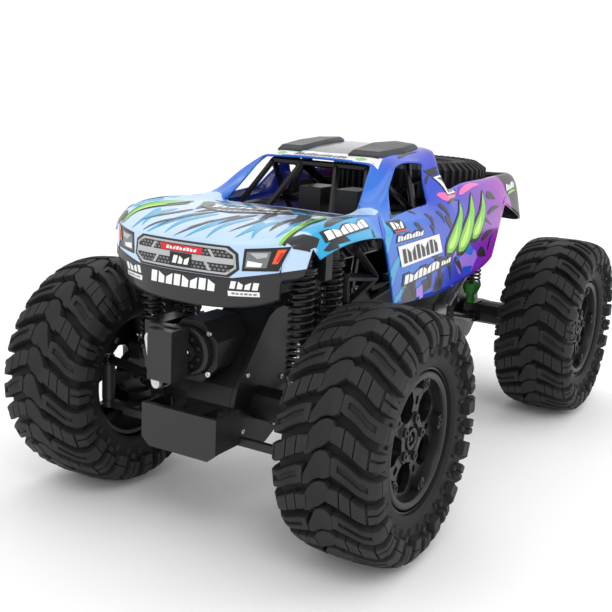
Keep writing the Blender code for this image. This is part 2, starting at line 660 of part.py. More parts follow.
# Half of the shell's control net, from the centreline to the skirt, nose first. Columns: centre, hood,
# windscreen edge, cant rail, mid window, belt, crease, mid side, skirt. None is where the shell is open.
NET = [
    [(0, -238, 150.7), (30, -236.5, 151), (50, -226, 154), (58, -221, 157.5), None,
     None, None, None, None],
    [(0, -239, 169.5), (30, -237, 169.5), (50, -229, 169.5), (60, -224, 169.5), (66, -219, 169.5),
     (69, -215, 171), None, None, None],
    [(0, -238, 188), (30, -236, 187.5), (50, -229, 188), (60, -222, 189), (66, -217, 189.5),
     (72, -211, 188.5), (76, -209, 182), None, None],
    [(0, -224, 194), (29, -223, 194), (48, -219, 194.5), (58, -214, 196), (65, -209, 197),
     (72, -204, 196), (80, -200, 187), None, None],
    [(0, -194, 197.5), (29, -194, 197.5), (47, -193, 197.5), (57, -192, 199), (65, -191, 202),
     (73, -189, 200), (82, -184, 190), None, None],
    [(0, -158, 199), (29, -158, 199), (48, -157, 199), (57, -156, 199.5), (65, -155, 202),
     (73, -156, 200), (82, -160, 190), None, None],
    [(0, -126, 197.5), (29, -125.5, 197), (51, -123.5, 196.5), (58, -121, 197.5), (65, -120, 199),
     (71, -124, 198.5), (80, -138, 187), (79.5, -127, 167), (78, -114, 140)],
    [(0, -88.5, 228.8), (25, -89, 228.5), (43.5, -89.5, 227.3), (53.5, -74, 226), (61, -100, 213.5),
     (70.5, -110, 197.3), (79, -108, 193), (80, -106, 166), (78.5, -100, 138.8)],
    [(0, -60, 235), (25, -60, 235), (43, -59, 234.5), (52.5, -56, 229), (61.5, -68, 214.5),
     (71, -76, 199.5), (79, -77, 193), (80.5, -74, 165), (78.5, -70, 137)],
    [(0, -30, 236.5), (25, -30, 236.5), (43, -30, 236), (54.5, -32, 226.5), (62, -46, 214.5),
     (71, -54, 201), (79, -48, 193), (80.5, -46, 164), (78, -44.5, 135.6)],
    [(0, -4, 236.5), (25, -4, 236.5), (43, -4, 236.5), (52, -6, 234), (64, -22, 221),
     (72, -29, 211), (79, -24, 193), (80.5, -18, 164), (78, -16, 136.5)],
    [None, None, None, None, (66, -14, 204),
     (72, -14, 205.5), (79, -8, 192), (80.5, 2, 164), (78, 4, 138.5)],
    [None, None, None, None, (66, 6, 211),
     (72, 6, 213.5), (79, 14, 191), (80.5, 20, 164), (78, 24, 140.5)],
    [None, None, None, None, (66, 44, 211),
     (72, 44, 213), (79.5, 48, 191), (80, 50, 166), (78, 53, 143.6)],
    [None, None, None, None, (66, 84, 212),
     (72, 84, 214), (79.5, 83, 191.4), (79, 75, 170), (78, 67.2, 149.2)],
    [None, None, None, None, (66, 110, 213),
     (72, 110.5, 215), (78.5, 108, 184), None, None],
    [(0, 139, 211), (25, 139, 211), (44, 138.5, 211), (54, 138, 211.5), (64, 137, 212),
     (72, 134, 212.6), (77.5, 143, 172), None, None],
    [(0, 147, 172), (25, 147, 172), (44, 147, 172), (54, 146.5, 172), (64, 146, 171.5),
     (77.5, 143, 172), None, None, None],
]
WINDSCREEN_ROW, DOOR_ROWS = 6, (7, 8)
SHELL_THICKNESS = 1.2
CREASED_ROWS = {1: 0.6, 2: 0.65, 10: 0.5}
CREASED_COLUMNS = {3: 0.3, 6: 0.5}
SHARP_CORNERS = [(6, 2), (7, 2), (7, 3), (7, 5), (9, 3), (9, 5)]  # of the windscreen and the side window
CORNER_SHARPNESS = 0.85


def shell_is_open(row, column):
    """True for the faces that the windscreen and the side windows take."""
    windscreen = row == WINDSCREEN_ROW and column < 2
    side_window = row in DOOR_ROWS and column in (3, 4)
    return windscreen or side_window


def sharpen(bm, crease, line, sharpness):
    """Creases the edges that join neighbours along one line of the net."""
    for first, second in zip(line, line[1:]):
        edge = bm.edges.get((first, second)) if first and second else None
        if edge:
            edge[crease] = sharpness


def shell_net():
    """The control net of both sides as one bmesh, with its feature lines creased."""
    bm = bmesh.new()
    crease = bm.edges.layers.float.new("crease_edge")
    corner = bm.verts.layers.float.new("crease_vert")
    for side in (1, -1):
        verts = [[point and bm.verts.new((side * point[0], *point[1:])) for point in row] for row in NET]
        for r in range(len(NET) - 1):
            for c in range(len(NET[0]) - 1):
                corners = [verts[r][c], verts[r + 1][c], verts[r + 1][c + 1], verts[r][c + 1]]
                if None in corners or shell_is_open(r, c):
                    continue
                bm.faces.new(corners if side > 0 else corners[::-1])
        for row, sharpness in CREASED_ROWS.items():
            sharpen(bm, crease, verts[row], sharpness)
        for column, sharpness in CREASED_COLUMNS.items():
            sharpen(bm, crease, [row[column] for row in verts], sharpness)
        for row, column in SHARP_CORNERS:
            verts[row][column][corner] = CORNER_SHARPNESS
    bmesh.ops.remove_doubles(bm, verts=bm.verts, dist=1e-3)
    loose = [vert for vert in bm.verts if not vert.link_faces]
    bmesh.ops.delete(bm, geom=loose, context="VERTS")
    bmesh.ops.recalc_face_normals(bm, faces=bm.faces)
    return bm


def body_shell():
    obj = mesh_object("body_shell", [shell_net()], (0, 0, 0))
    obj.data.materials.append(look("paint"))
    smooth = obj.modifiers.new("Smooth", "SUBSURF")
    smooth.levels = smooth.render_levels = 1
    smooth.boundary_smooth = "PRESERVE_CORNERS"
    thick = obj.modifiers.new("Thickness", "SOLIDIFY")
    thick.thickness = SHELL_THICKNESS * MM
    thick.offset = -1.0


def roll_cage():
    """Tubes inside the cab, on four feet that stand on the tub's rim."""
    tubes = [
        ((-50, -110, 192), (50, -110, 192)),
        ((-38, -84, 224), (38, -84, 224)),
        ((-42, -30, 227), (42, -30, 227)),
        ((-54, -38, 192), (54, -38, 192)),
    ]
    for side in (-1, 1):
        front_low, front_top = (side * 50, -110, 192), (side * 38, -84, 224)
        rear_low, rear_top = (side * 54, -38, 192), (side * 42, -30, 227)
        tubes += [
            (front_low, front_top), (rear_low, rear_top), (front_top, rear_top), (front_low, rear_low),
            (front_top, (side * 54, -40, 193)), ((side * 14, -84, 224), (side * 26, -110, 192)),
            (rear_top, (side * 40, -12, 196)), ((side * 40, -12, 196), rear_low),
            (front_low, (side * 34.8, -92, 140)), (rear_low, (side * 34.8, -30, 140)),
        ]
    shapes = [rod(start, end, 2.3, 6) for start, end in tubes]
    for side in (-1, 1):
        for y in (-92, -30):
            shapes.append(block((side * 31.0, y - 5, TUB_HIGH + GAP), (side * 38.0, y + 5, 143)))
    node("roll_cage", "black_plastic", shapes)
    cockpit = [
        block((-46, -100, 176), (46, -42, 179)),
        block((-24, -70, 178), (-6, -44, 206)),
        block((6, -70, 178), (24, -44, 206)),
        block((-46, -100, 178), (46, -92, 190)),
    ]
    node("cockpit_tray", "black_plastic", cockpit)


def bed_and_spare():
    post = rod((0, SPARE_Y, 190), (0, SPARE_Y, SPARE_TOP - 2), 3.0, 10)
    tray = [block((-70, -8, 188), (70, 124, 191)), post]
    for side in (-1, 1):
        tray.append(block((side * 67.0, -8, 190), (side * 70.0, 124, 202)))
        tray.append(block((side * 31.5, 88, TUB_HIGH + GAP), (side * 36.0, 100, 189)))
        tray.append(block((side * 31.5, 4, TUB_HIGH + GAP), (side * 36.0, 14, 189)))
    node("bed_tray", "black_plastic", tray)
    r, low, high = SPARE_RADIUS, SPARE_LOW, SPARE_TOP
    ring = [(24.0, low + 4), (r - 8, low), (r, low + 5), (r, high - 5), (r - 8, high), (24.0, high - 4)]
    centre = (0, SPARE_Y, 0)
    node("spare_tyre", "rubber", [turned(ring, centre, "z", 32)], origin=(0, SPARE_Y, low))
    disc = [(3.4, high - 12), (22, high - 12), (23.6, high - 5), (23.6, low + 5), (3.4, low + 5)]
    node("spare_rim", "satin_black", [turned(disc, centre, "z", 24)], origin=(0, SPARE_Y, low))


def build():
    for obj in list(bpy.data.objects):
        bpy.data.objects.remove(obj)
    wheels()
    for end, y in (("front", -AXLE_Y), ("rear", AXLE_Y)):
        axle_case(end, y)
        drive(end, y)
        shock_tower(end, y)
    for end, y_sign in (("front", -1), ("rear", 1)):
        for name, side in (("left", 1), ("right", -1)):
            lower_link(f"{end}_{name}_lower_link", side, y_sign)
    steering()
    skid_plate()
    shocks()
    rear_struts()
    chassis()
    electronics()
    body_shell()
    roll_cage()
    bed_and_spare()


build()
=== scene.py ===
"""The looks of the RC monster truck: lugged tyres, beadlock wheels, printed shell, springs and a pale studio.

Sizes are in millimetres in the frame of the CAD model, and MM turns them into metres.
"""

from math import atan2, cos, pi, radians, sin

import bmesh
import bpy
from mathutils import Matrix, Vector
from mathutils.bvhtree import BVHTree


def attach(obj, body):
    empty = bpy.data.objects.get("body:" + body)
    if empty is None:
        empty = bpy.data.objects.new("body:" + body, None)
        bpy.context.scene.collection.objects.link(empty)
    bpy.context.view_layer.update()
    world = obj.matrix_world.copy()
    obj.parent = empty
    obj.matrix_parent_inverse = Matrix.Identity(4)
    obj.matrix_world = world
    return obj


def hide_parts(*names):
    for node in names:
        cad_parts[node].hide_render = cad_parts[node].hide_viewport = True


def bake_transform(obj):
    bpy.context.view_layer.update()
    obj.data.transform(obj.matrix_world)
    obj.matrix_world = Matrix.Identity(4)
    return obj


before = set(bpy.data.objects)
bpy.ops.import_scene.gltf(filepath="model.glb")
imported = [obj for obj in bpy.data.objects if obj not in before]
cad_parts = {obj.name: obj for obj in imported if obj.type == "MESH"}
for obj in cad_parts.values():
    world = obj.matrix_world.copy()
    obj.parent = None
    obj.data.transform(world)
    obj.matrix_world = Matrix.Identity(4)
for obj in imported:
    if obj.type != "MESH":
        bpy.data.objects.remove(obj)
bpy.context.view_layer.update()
MM = 0.001


# ---------------------------------------------------------------- shared places

WHEEL_RADIUS = 77.5
TRACK_HALF = 105.0
AXLE_Y = 177.25
AXLE_Z = WHEEL_RADIUS
WHEELS = {
    "front_left": (TRACK_HALF, -AXLE_Y, "front_left_wheel"),
    "front_right": (-TRACK_HALF, -AXLE_Y, "front_right_wheel"),
    "rear_left": (TRACK_HALF, AXLE_Y, "rear_wheels"),
    "rear_right": (-TRACK_HALF, AXLE_Y, "rear_wheels"),
}

# ---------------------------------------------------------------- materials


class Nodes:
    """A short way to wire a material's nodes."""

    def __init__(self, name):
        self.material = bpy.data.materials.new(name)
        self.material.use_nodes = True
        self.tree = self.material.node_tree
        self.shader = self.tree.nodes["Principled BSDF"]

    def add(self, kind, inputs=(), **settings):
        made = self.tree.nodes.new(kind)
        for key, value in settings.items():
            setattr(made, key, value)
        for key, value in dict(inputs).items():
            self.put(made.inputs[key], value)
        return made

    def put(self, socket, value):
        if isinstance(value, bpy.types.NodeSocket):
            self.tree.links.new(value, socket)
        else:
            socket.default_value = value

    def set(self, **values):
        for key, value in values.items():
            self.put(self.shader.inputs[key.replace("_", " ")], value)

    def position(self):
        return self.add("ShaderNodeTexCoord").outputs["Object"]

    def grain(self, scale, detail=3.0, where=None):
        where = where or self.position()
        return self.add("ShaderNodeTexNoise",
                        {"Vector": where, "Scale": scale, "Detail": detail}).outputs["Fac"]

    def math(self, operation, first, second=0.0, clamp=False):
        made = self.add("ShaderNodeMath", operation=operation, use_clamp=clamp)
        self.put(made.inputs[0], first)
        self.put(made.inputs[1], second)
        return made.outputs[0]

    def span(self, value, low, high, to_low=0.0, to_high=1.0):
        names = {"Value": value, "From Min": low, "From Max": high, "To Min": to_low, "To Max": to_high}
        return self.add("ShaderNodeMapRange", names, clamp=True).outputs["Result"]

    def mix(self, factor, first, second):
        made = self.add("ShaderNodeMix", data_type="RGBA")
        self.put(made.inputs["Factor"], factor)
        self.put(made.inputs["A"], first)
        self.put(made.inputs["B"], second)
        return made.outputs["Result"]

    def bump(self, height, strength, distance):
        made = self.add("ShaderNodeBump", {"Strength": strength, "Distance": distance, "Height": height})
        self.put(self.shader.inputs["Normal"], made.outputs["Normal"])


def rgb(red, green, blue):
    """A colour given as sRGB values from 0 to 255, as a linear RGBA colour."""
    def linear(value):
        share = value / 255
        return share / 12.92 if share <= 0.04045 else ((share + 0.055) / 1.055) ** 2.4
    return (linear(red), linear(green), linear(blue), 1.0)


def grained(name, dark, light, roughness, scale=900.0, bump=0.25, metallic=0.0, edge_lightening=0.0, shine=0.5):
    """A moulded or cast surface: two close tones, a fine grain, and a mid grey mixed in on its sharp convex
    edges.
    """
    nodes = Nodes(name)
    broad = nodes.grain(35.0, 4.0)
    fine = nodes.grain(scale, 2.0)
    colour = nodes.mix(nodes.span(broad, 0.35, 0.7), dark, light)
    if edge_lightening:
        # Sharp convex edges, found by pointiness, are mixed towards a mid grey.
        edge = nodes.add("ShaderNodeNewGeometry").outputs["Pointiness"]
        colour = nodes.mix(nodes.span(edge, 0.52, 0.62, 0.0, edge_lightening), colour, rgb(120, 120, 122))
    nodes.set(Base_Color=colour, Metallic=metallic, Specular_IOR_Level=shine)
    nodes.set(Roughness=nodes.span(broad, 0.3, 0.7, roughness - 0.06, roughness + 0.08))
    nodes.bump(fine, bump, 0.0004)
    return nodes.material


RUBBER = grained("tyre_rubber", rgb(17, 17, 18), rgb(27, 27, 28), 0.60, 1400.0, 0.35, edge_lightening=0.10, shine=0.22)
BLACK = grained("black_plastic", rgb(13, 13, 14), rgb(21, 21, 22), 0.36, 1800.0, 0.15, edge_lightening=0.10, shine=0.32)
SATIN = grained("satin_black", rgb(11, 11, 12), rgb(17, 17, 18), 0.26, 2200.0, 0.10, edge_lightening=0.10, shine=0.36)
CHARCOAL = grained("charcoal_plastic", rgb(32, 33, 35), rgb(42, 43, 45), 0.36, 2000.0, 0.10, edge_lightening=0.10,
                   shine=0.36)
STEEL = grained("bright_steel", rgb(190, 190, 192), rgb(222, 222, 224), 0.24, 700.0, 0.10, metallic=1.0)
WHITE_METAL = grained("pale_metal", rgb(212, 212, 210), rgb(236, 236, 234), 0.34, 700.0, 0.08, metallic=0.35)
GREEN = grained("green_perch", rgb(24, 96, 22), rgb(40, 132, 34), 0.34, 900.0, 0.10)
NYLON = grained("white_nylon", rgb(214, 214, 206), rgb(232, 232, 226), 0.45, 900.0, 0.10)
BOARD = grained("board_green", rgb(20, 82, 42), rgb(28, 98, 52), 0.5, 500.0, 0.15)
WRAP = grained("battery_wrap", rgb(30, 62, 148), rgb(38, 74, 168), 0.34, 300.0, 0.10)
SPRING = grained("spring_black", rgb(14, 14, 15), rgb(24, 24, 26), 0.28, 1500.0, 0.08, metallic=0.3,
                 edge_lightening=0.12, shine=0.4)

# ---------------------------------------------------------------- shapes


AXES = {"x": Vector((1, 0, 0)), "y": Vector((0, 1, 0)), "z": Vector((0, 0, 1))}


def finished(bm):
    bmesh.ops.remove_doubles(bm, verts=bm.verts, dist=1e-4)
    bmesh.ops.recalc_face_normals(bm, faces=bm.faces)
    return bm


def turned(profile, centre=(0, 0, 0), axis="x", sides=96):
    """Spins a closed profile of (radius, distance along the axis) points."""
    along = AXES[axis]
    out = AXES["z"] if axis != "z" else AXES["x"]
    centre = Vector(centre)
    bm = bmesh.new()
    points = [bm.verts.new(centre + out * radius + along * reach) for radius, reach in profile]
    edges = [bm.edges.new((points[i - 1], points[i])) for i in range(len(points))]
    bmesh.ops.spin(bm, geom=points + edges, cent=centre, axis=along, angle=2 * pi, steps=sides,
                   use_merge=True)
    bmesh.ops.delete(bm, geom=[edge for edge in bm.edges if not edge.link_faces], context="EDGES")
    return finished(bm)


def prism(outline, axis, low, high):
    place = {"x": lambda a, b: (low, a, b), "y": lambda a, b: (a, low, b), "z": lambda a,
             b: (a, b, low)}[axis]
    bm = bmesh.new()
    face = bm.faces.new([bm.verts.new(place(a, b)) for a, b in outline])
    made = bmesh.ops.extrude_face_region(bm, geom=[face])["geom"]
    verts = [item for item in made if isinstance(item, bmesh.types.BMVert)]
    bmesh.ops.translate(bm, vec=AXES[axis] * (high - low), verts=verts)
    return finished(bm)


def polar(radius, angle, centre=(0, 0)):
    return centre[0] + radius * cos(radians(angle)), centre[1] + radius * sin(radians(angle))


def joined(shapes):
    """One mesh, in metres, from several shapes in millimetres."""
    whole = bmesh.new()
    for shape in shapes:
        part = bpy.data.meshes.new("shape")
        shape.to_mesh(part)
        shape.free()
        whole.from_mesh(part)
        bpy.data.meshes.remove(part)
    bmesh.ops.scale(whole, vec=(MM, MM, MM), verts=whole.verts)
    mesh = bpy.data.meshes.new("piece")
    whole.to_mesh(mesh)
    whole.free()
    return mesh


def piece(name, mesh, material, body, angle=35, place=None):
    obj = bpy.data.objects.new(name, mesh)
    mesh.name = name
    if not mesh.materials:
        mesh.materials.append(material)
    mesh.shade_smooth()
    mesh.set_sharp_from_angle(angle=radians(angle))
    if place:
        obj.matrix_world = place
    bpy.context.scene.collection.objects.link(obj)
    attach(obj, body)
    return obj


def bevelled(obj, width, segments=2, angle=30):
    modifier = obj.modifiers.new("Soft edges", "BEVEL")
    modifier.width = width * MM
    modifier.segments = segments
    modifier.limit_method = "ANGLE"
    modifier.angle_limit = radians(angle)
    modifier.harden_normals = True
    modifier.use_clamp_overlap = True
    return obj


def carved(mesh, cutter):
    """The mesh less the cutter, as a new mesh."""
    scene = bpy.context.scene.collection
    body, tool = bpy.data.objects.new("carve_body", mesh), bpy.data.objects.new("carve_tool", cutter)
    scene.objects.link(body)
    scene.objects.link(tool)
    modifier = body.modifiers.new("Cut", "BOOLEAN")
    modifier.operation = "DIFFERENCE"
    modifier.object = tool
    modifier.use_self = True
    bpy.context.view_layer.update()
    graph = bpy.context.evaluated_depsgraph_get()
    result = bpy.data.meshes.new_from_object(body.evaluated_get(graph))
    bpy.data.objects.remove(body)
    bpy.data.objects.remove(tool)
    return result


# ---------------------------------------------------------------- tyres

PITCHES = 28
CROWN_HALF, CROWN_ARCH = 24.0, 320.0
CARCASS_RADIUS = 72.0
SHOULDER_RADIUS = 6.5
SHOULDER_START, SHOULDER_END = atan2(CROWN_HALF, CROWN_ARCH / 2), radians(80)
SHOULDER_LENGTH = SHOULDER_RADIUS * (SHOULDER_END - SHOULDER_START)
LUG_HEIGHT, SIDE_HEIGHT, GROOVE = 5.5, 4.4, 1.6
CHEVRON = radians(0.42)
DRAFT, CHAMFER = 0.035, 0.5
CENTRE_HALF = 8.0


def carcass(along):
    """The bare tyre's distance out, radius and outward direction at a distance from the centre line."""
    if along <= CROWN_HALF:
        lean = atan2(along, CROWN_ARCH / 2)
        return along, CARCASS_RADIUS - along**2 / CROWN_ARCH, lean
    edge = CARCASS_RADIUS - CROWN_HALF**2 / CROWN_ARCH
    lean = min(SHOULDER_START + (along - CROWN_HALF) / SHOULDER_RADIUS, SHOULDER_END)
    out = CROWN_HALF + SHOULDER_RADIUS * (sin(lean) - sin(SHOULDER_START))
    radius = edge - SHOULDER_RADIUS * (cos(SHOULDER_START) - cos(lean))
    rest = max(0.0, along - CROWN_HALF - SHOULDER_LENGTH)
    return out - rest * 0.05, radius - rest, lean + rest * 0.02


def on_tread(side, along, share, height):
    """A point above the carcass: along is signed towards the side, share counts pitches round the tyre."""
    out, radius, lean = carcass(abs(along))
    stagger = 0.25 * (1 - side * max(-1.0, min(1.0, along / CENTRE_HALF)))
    reach = radius + height * cos(lean)
    turn = 2 * pi * (share + stagger) / PITCHES + CHEVRON * min(abs(along), 26.0)
    sign = side if along >= 0 else -side
    return sign * (out + height * sin(lean)), reach * cos(turn), reach * sin(turn)


def strip(bm, side, pitch, stations):
    """A raised bar of tread: at each station its distance along the section, its two edges and its height."""
    rings = []
    for along, low, high, height in stations:
        outline = [(low - DRAFT, -0.8), (low, height - CHAMFER), (low + DRAFT, height),
                   (high - DRAFT, height), (high, height - CHAMFER), (high + DRAFT, -0.8)]
        rings.append([bm.verts.new(on_tread(side, along, pitch + share, rise)) for share, rise in outline])
    for first, second in zip(rings, rings[1:]):
        for i in range(6):
            bm.faces.new((first[i], first[(i + 1) % 6], second[(i + 1) % 6], second[i]))
    bm.faces.new(rings[0][::-1])
    bm.faces.new(rings[-1])


def crescent(along):
    """How far a lug bows from the straight slant, in pitches."""
    return 0.26 * ((min(along, 30.0) - 17.0) / 15.0) ** 2 - 0.06


def lug_bar(start, end, low, high, drop=0.0, step=3.0):
    """Stations of one bar of a lug, between two shares of its width."""
    count = max(2, round((end - start) / step) + 1)
    made = []
    for i in range(count):
        along = start + (end - start) * i / (count - 1)
        height = LUG_HEIGHT + (SIDE_HEIGHT - LUG_HEIGHT) * max(0.0, min(1.0, (along - 20.0) / 12.0))
        bow = crescent(along)
        narrow = 0.06 * max(0.0, (11.0 - along) / 4.0)
        made.append((along, low + bow + narrow, high + bow - narrow, height - drop))
    return made


def tread():
    bm = bmesh.new()
    for pitch in range(PITCHES):
        left, right = (0.20, 0.0) if pitch % 2 else (0.0, 0.20)
        strip(bm, 1, pitch, [(-8.0, 0.24 + left, 0.80, LUG_HEIGHT - 0.5),
                             (-5.0, 0.04 + left, 0.92, LUG_HEIGHT - 0.3),
                             (-1.5, 0.04, 0.94, LUG_HEIGHT - 0.3), (1.5, 0.04, 0.94, LUG_HEIGHT - 0.3),
                             (5.0, 0.04, 0.92 - right, LUG_HEIGHT - 0.3),
                             (8.0, 0.24, 0.80 - right, LUG_HEIGHT - 0.5)])
        for side in (1, -1):
            if pitch % 2:
                bars = [(8.5, 12.0, 0.10, 0.74, 0), (12.0, 27.0, 0.10, 0.30, 0), (12.0, 27.0, 0.50, 0.74, 0),
                        (11.0, 28.0, 0.20, 0.60, GROOVE), (27.0, 33.0, 0.10, 0.74, 0),
                        (33.7, 39.5, 0.12, 0.72, 0)]
            else:
                bars = [(6.6, 13.0, 0.12, 0.72, 0), (13.8, 19.4, 0.12, 0.74, 0), (20.2, 26.0, 0.12, 0.74, 0),
                        (7.0, 30.0, 0.16, 0.70, GROOVE), (26.8, 36.8, 0.12, 0.34, 0),
                        (26.8, 36.8, 0.42, 0.74, 0)]
            for start, end, low, high, drop in bars:
                strip(bm, side, pitch, lug_bar(start, end, low, high, drop))
            strip(bm, side, pitch, [(along, 0.02, 0.16, 1.5) for along in (41.5, 43.5, 45.5)])
            if pitch % 2 == 0:
                strip(bm, side, pitch, [(along, 0.40, 0.66, 2.2) for along in (38.6, 40.2, 41.8)])
    bmesh.ops.recalc_face_normals(bm, faces=bm.faces)
    return bm


def tyre_mesh():
    """The bare tyre, hollow with two beads, and its tread."""
    outside = [carcass(along)[:2] for along in
               (0, 4, 8, 12, 16, 20, 24, 25.5, 27, 28.5, 30, 31, 32.1, 34, 36, 38, 40, 42, 44, 46, 48, 50)]
    bead = [(27.9, 45.6), (26.6, 44.2), (24.0, 43.9), (23.0, 45.0), (25.4, 50.0), (26.2, 60.0), (22.0, 67.5),
            (0.0, 69.4)]
    half = outside + bead
    profile = half + [(-out, radius) for out, radius in half[-2:0:-1]]
    return joined([turned([(radius, out) for out, radius in profile], sides=112), tread()])


def tyres():
    mesh = tyre_mesh()
    for name, (x, y, body) in WHEELS.items():
        place = Matrix.Translation((x * MM, y * MM, AXLE_Z * MM))
        own = mesh.copy()
        if x < 0:
            own.transform(Matrix.Diagonal((-1, 1, 1, 1)))
            own.flip_normals()
        obj = piece(f"{name}_lugged_tyre", own, RUBBER, body, 28, place)
        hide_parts(f"{name}_tyre")


# ---------------------------------------------------------------- rims

SPOKES = 5
SPOKE_LEAN = 3.0
WEB_BACK, WEB_FACE = 16.0, 19.4
TAB_RADIUS = 33.6


def round_ring(points, angle):
    turn = radians(angle)
    return [(a * cos(turn) - b * sin(turn), a * sin(turn) + b * cos(turn)) for a, b in points]


def spoke_angle(i):
    return SPOKE_LEAN + 360 / SPOKES * i


def windows():
    """Cuts five hexagonal openings between the spokes and a small slot in each spoke."""
    half = [(13.8, 3.2), (14.8, 5.0), (20.5, 9.4), (27.2, 9.4), (31.4, 6.2), (32.4, 4.2)]
    opening = half + [(a, -b) for a, b in reversed(half)]
    slot = [(20.4, 1.1), (21.6, 1.9), (24.6, 1.9), (25.8, 1.1), (25.8, -1.1), (24.6, -1.9), (21.6, -1.9),
            (20.4, -1.1)]
    cutters = []
    for i in range(SPOKES):
        cutters.append(prism(round_ring(opening, spoke_angle(i) + 180 / SPOKES), "x", 5, 35))
        cutters.append(prism(round_ring(slot, spoke_angle(i)), "x", 5, 35))
    return joined(cutters)


def rim_mesh():
    """The wheel centre, out along +x: barrel, seat, flat web with five spokes, tabs and hub ring."""
    barrel = turned(
        [(42.9, 22.6), (43.8, 23.4), (43.8, 25.0), (42.6, 25.0), (42.2, 19.0), (39.7, 17.5), (39.7, -20.0),
         (40.4, -22.2),
         (41.6, -22.7), (43.0, -22.7), (43.6, -22.0), (43.6, -20.6), (41.4, -19.4), (41.4, 18.0)]
    )
    web = turned(
        [(4.2, WEB_BACK - 3), (38.9, WEB_BACK), (38.9, WEB_FACE - 0.6), (37.6, WEB_FACE), (16.4, WEB_FACE),
         (15.6, WEB_FACE + 1.1), (9.6, WEB_FACE + 1.1), (9.0, WEB_FACE - 0.6), (7.2, WEB_FACE - 0.6),
         (6.6, WEB_FACE + 1.4), (4.8, WEB_FACE + 1.4), (4.2, WEB_FACE + 0.8)]
    )
    opened = carved(joined([web]), windows())
    shapes = [barrel]
    for i in range(SPOKES):
        a, b = polar(12.5, spoke_angle(i))
        shapes.append(turned([(1.3, WEB_FACE - 2), (2.9, WEB_FACE - 2), (2.9, WEB_FACE + 2.2),
                              (2.4, WEB_FACE + 2.7),
                              (1.5, WEB_FACE + 2.7), (1.3, WEB_FACE + 2.4)], (0, a, b), sides=24))
        tab = [(37.6, 4.6), (32.4, 4.2), (30.6, 2.6), (30.2, 0), (30.6, -2.6), (32.4, -4.2), (37.6, -4.6)]
        shapes.append(prism(round_ring(tab, spoke_angle(i)), "x", WEB_BACK, 23.6))
        a, b = polar(TAB_RADIUS, spoke_angle(i))
        shapes.append(turned([(1.5, 22.6), (2.7, 22.6), (2.7, 24.0), (2.3, 24.5), (1.7, 24.5), (1.5, 24.1)],
                             (0, a, b), sides=24))
    mesh = joined(shapes)
    whole = bmesh.new()
    whole.from_mesh(mesh)
    whole.from_mesh(opened)
    whole.to_mesh(mesh)
    whole.free()
    return mesh


def beadlock_mesh():
    """The smooth ring that clamps the tyre."""
    return joined([turned([(36.4, WEB_FACE - 2), (36.4, 23.4), (37.0, 24.7), (38.2, 25.5), (39.4, 25.8),
                           (40.7, 25.5),
                           (41.6, 24.7), (42.0, 23.6), (42.0, WEB_FACE - 2)], sides=128)])


def rims():
    centre, ring = rim_mesh(), beadlock_mesh()
    for name, (x, y, body) in WHEELS.items():
        place = Matrix.Translation((x * MM, y * MM, AXLE_Z * MM))
        if x < 0:
            place = place @ Matrix.Rotation(pi, 4, "Z")
        made = bevelled(piece(f"{name}_wheel_centre", centre.copy(), BLACK, body, 30,
                              place), 0.35)
        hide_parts(f"{name}_rim")
        piece(f"{name}_beadlock", ring.copy(), BLACK, body, 30, place)
        nut = joined([
            prism([polar(3.4, 60 * i) for i in range(6)], "x", 12.5, 19.4),
            turned([(0.1, 18.5), (1.6, 18.5), (1.6, 20.4), (1.3, 20.7), (0.1, 20.7)], sides=24),
        ])
        bevelled(piece(f"{name}_wheel_nut", nut, SPRING, body, 30, place), 0.25)
        heads = []
        for i in range(SPOKES):
            heads.append(screw((0, *polar(TAB_RADIUS, spoke_angle(i))), "x", 1.45, 0.5))
            bmesh.ops.translate(heads[-1], verts=heads[-1].verts, vec=(23.5, 0, 0))
        piece(f"{name}_rim_screws", joined(heads), SPRING, body, 30, place)


# ---------------------------------------------------------------- printed shell

